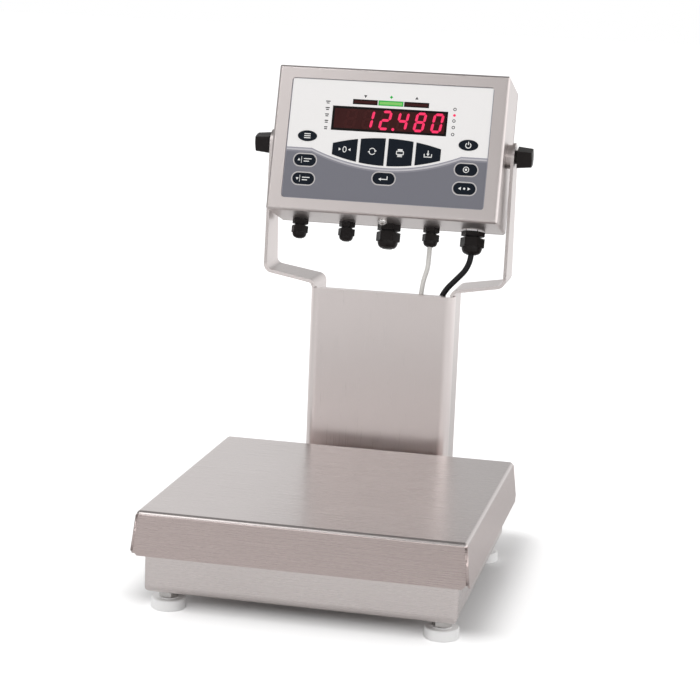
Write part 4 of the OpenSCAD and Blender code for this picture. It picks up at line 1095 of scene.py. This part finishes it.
class CHECKWEIGHER_OT_display_figures(bpy.types.Operator):
    """Lights the reading on the display, with the bars that are off just visible"""

    bl_idname = "checkweigher.display_figures"
    bl_label = "Display figures"

    def execute(self, context):
        panel = settings().panel
        lit = bmesh.new()
        unlit = bmesh.new()
        middle = 23.2
        place = 0
        for figure in panel.reading:
            x = -40 + place * panel.digit_pitch / MM
            if figure == ".":
                disc(lit, x - 9.4, middle - 9, 1.5)
                continue
            display_bars(lit, x, middle, LIT_BARS[figure])
            display_bars(unlit, x, middle, [b for b in "abcdefg" if b not in LIT_BARS[figure]])
            place += 1
        glow = lit_ink("figure_red", panel.digit, 1)
        print_mark("lit_figures", lit, glow)
        print_mark("unlit_figures", unlit, printed_ink("figure_off", panel.unlit))
        return {"FINISHED"}


class CHECKWEIGHER_OT_gland_washer(bpy.types.Operator):
    """Fits the white sealing washer above the power lead's gland"""

    bl_idname = "checkweigher.gland_washer"
    bl_label = "Gland washer"

    def execute(self, context):
        bm = bmesh.new()
        ring(bm, 89, 0, 12.2, 3)
        lift(bm, 1.4)
        # The glands stand on the case's bottom, 21 mm behind the tilt axis and 76 mm below it.
        upright = Matrix.Rotation(FACE_TURN - math.pi / 2, 4, "X")
        down = Matrix.Translation(PIVOT) @ upright @ Matrix.Scale(MM, 4)
        keep(
            "gland_washer", bm, moulding("white_nylon"), "indicator",
            down @ Matrix.Translation((0, 21, -76.75)),
        )
        return {"FINISHED"}


class CHECKWEIGHER_OT_stage(bpy.types.Operator):
    """Lays the pale floor and sets the soft studio light"""

    bl_idname = "checkweigher.stage"
    bl_label = "Stage"

    def execute(self, context):
        stage = settings().stage
        bm = bmesh.new()
        bmesh.ops.create_grid(bm, x_segments=1, y_segments=1, size=stage.floor_size / 2)
        mesh = bpy.data.meshes.new("floor")
        bm.to_mesh(mesh)
        bm.free()
        floor = show("floor", mesh)
        finish, tree, shader = start_finish("pale_floor")
        sight = add(tree, "LightPath")
        spot = add(tree, "TexCoord").outputs["Object"]
        far = remap(tree, vector_of(tree, "LENGTH", spot), 0.5, 1.8, 0, 0.4)
        # The shadow keeps close to the square base, so the lift starts from the tray's sides.
        half_tray = 0.146
        past = vector_of(tree, "SUBTRACT", vector_of(tree, "ABSOLUTE", spot), [half_tray] * 3)
        gap = vector_of(tree, "LENGTH", vector_of(tree, "MAXIMUM", past, (0, 0, 0)))
        near = remap(tree, gap, 0.002, 0.05, 0, 0.42)
        seen = sight.outputs["Is Camera Ray"]
        # The brushed arms mirror a bright backdrop, the fronts a duller floor.
        behind = sum_of(tree, "GREATER_THAN", object_axis(tree, "Y"), 0.3)
        mirrored = sum_of(tree, "MULTIPLY", sight.outputs["Is Glossy Ray"], behind)
        shown = sum_of(tree, "MAXIMUM", seen, mirrored)
        # Seen by the camera, the floor is lifted to the white of the background and keeps its shadow.
        set_sockets(tree, shader, {
            "Base Color": rgba(stage.floor),
            "Roughness": 0.9,
            "Specular IOR Level": 0,
            "Emission Color": (1, 1, 1, 1),
            "Emission Strength": sum_of(
                tree, "MAXIMUM", sum_of(tree, "MULTIPLY", far, shown), sum_of(tree, "MULTIPLY", seen, near)
            ),
        })
        mesh.materials.append(finish)
        self.light("left_softbox", stage.key_light, (-1.6, -1.2, 2.4), 1.2)
        self.light("right_fill", stage.fill_light, (2.2, -0.9, 1.5), 1.4)
        self.room(context, stage.room)
        context.scene.view_settings.view_transform = "Standard"
        return {"FINISHED"}

    def light(self, name, power, spot, size):
        """Square soft lamp aimed at the middle of the object."""
        data = bpy.data.lights.new(name, "AREA")
        data.energy = power
        data.size = size
        lamp = show(name, data)
        lamp.location = spot
        lamp.visible_glossy = False
        lamp.rotation_euler = (Vector(spot) - Vector((0, 0.1, 0.2))).to_track_quat("Z", "Y").to_euler()

    def room(self, context, level):
        """White background, plain light on matt things, and for gloss a room that is dark overhead."""
        world = bpy.data.worlds.new("studio")
        world.use_nodes = True
        tree = world.node_tree
        tree.nodes.clear()
        sight = add(tree, "LightPath")
        place = add(tree, "TexCoord")
        split = add(tree, "SeparateXYZ", {"Vector": place.outputs["Generated"]})
        across, depth, height = split.outputs["X"], split.outputs["Y"], split.outputs["Z"]
        step = partial(remap, tree)
        times = partial(sum_of, tree, "MULTIPLY")
        plus = partial(sum_of, tree, "ADD")
        overhead = step(height, 0.36, 0.8, 1, 0.3)
        left = step(across, -0.9, -0.45, 0.4, 1.2)
        shade = times(step(across, -0.25, -0.12, 0, 1), step(across, 0, 0.2, 1, 0))
        dip = times(shade, step(depth, -0.4, 0.4, 0.85, 0.4))
        right = step(across, 0.4, 0.7, 0, 0.6)
        front = step(depth, -0.85, -0.5, 1, 0)
        glow = times(step(height, 0.06, 0.15, -0.8, 1.75), step(height, 0.21, 0.3, 1, 0))
        low_front = times(front, glow)
        back = step(depth, 0.2, 0.8, 1, 0.86)
        sides = sum_of(tree, "SUBTRACT", plus(left, right), dip)
        gloss = times(plus(sides, low_front), times(overhead, back))
        # The leaning front mirrors the upper front of the room: dim, with a soft patch high on the left.
        upper_front = times(step(depth, -0.6, -0.2, 1, 0), step(height, 0.2, 0.35, 0, 1))
        patch = times(step(across, -0.34, -0.14, 3.6, 0), step(height, 0.36, 0.58, 0, 1))
        bounded = times(patch, step(across, -0.62, -0.44, 0, 1))
        # Past both ends the room is plain again, so that tops seen from behind stay pale.
        ends = plus(step(across, 0.02, 0.22, 0.15, 0.85), step(across, -0.62, -0.44, 0.7, 0))
        dim = plus(bounded, ends)
        gloss = add(tree, "Mix", {0: upper_front, 2: gloss, 3: dim}).outputs[0]
        shine = add(tree, "Mix", {0: sight.outputs["Is Glossy Ray"], 2: level, 3: gloss}).outputs[0]
        seen = sum_of(
            tree, "MAXIMUM", sight.outputs["Is Camera Ray"], sight.outputs["Is Transmission Ray"]
        )
        strength = add(tree, "Mix", {0: seen, 2: shine, 3: 1}).outputs[0]
        sky = add(tree, "Background", {"Color": (1, 1, 1, 1), "Strength": strength})
        add(tree, "OutputWorld", {"Surface": sky.outputs["Background"]})
        context.scene.world = world


OPERATORS = (
    CHECKWEIGHER_OT_camera,
    CHECKWEIGHER_OT_power_lead,
    CHECKWEIGHER_OT_cell_cable,
    CHECKWEIGHER_OT_finishes,
    CHECKWEIGHER_OT_load_cell,
    CHECKWEIGHER_OT_corner_welds,
    CHECKWEIGHER_OT_key_marks,
    CHECKWEIGHER_OT_overlay_marks,
    CHECKWEIGHER_OT_display_figures,
    CHECKWEIGHER_OT_gland_washer,
    CHECKWEIGHER_OT_stage,
)


class CHECKWEIGHER_PT_sidebar(bpy.types.Panel):
    """Lists the steps that dress the checkweigher"""

    bl_idname = "CHECKWEIGHER_PT_sidebar"
    bl_label = "Checkweigher"
    bl_space_type = "VIEW_3D"
    bl_region_type = "UI"
    bl_category = "Checkweigher"

    def draw(self, context):
        for operator in OPERATORS:
            self.layout.operator(operator.bl_idname)


CLASSES = (
    CheckweigherMetals,
    CheckweigherPlastics,
    CheckweigherPanel,
    CheckweigherCables,
    CheckweigherStage,
    CheckweigherSettings,
    *OPERATORS,
    CHECKWEIGHER_PT_sidebar,
)


def register():
    """Registers the classes and the scene's settings."""
    for cls in CLASSES:
        bpy.utils.register_class(cls)
    bpy.types.Scene.checkweigher = PointerProperty(type=CheckweigherSettings)


def unregister():
    """Removes the settings and the classes."""
    del bpy.types.Scene.checkweigher
    for cls in reversed(CLASSES):
        bpy.utils.unregister_class(cls)


def main():
    """Dresses the checkweigher step by step."""
    register()
    for operator in OPERATORS:
        group, name = operator.bl_idname.split(".")
        getattr(getattr(bpy.ops, group), name)()


if __name__ == "__main__":
    main()
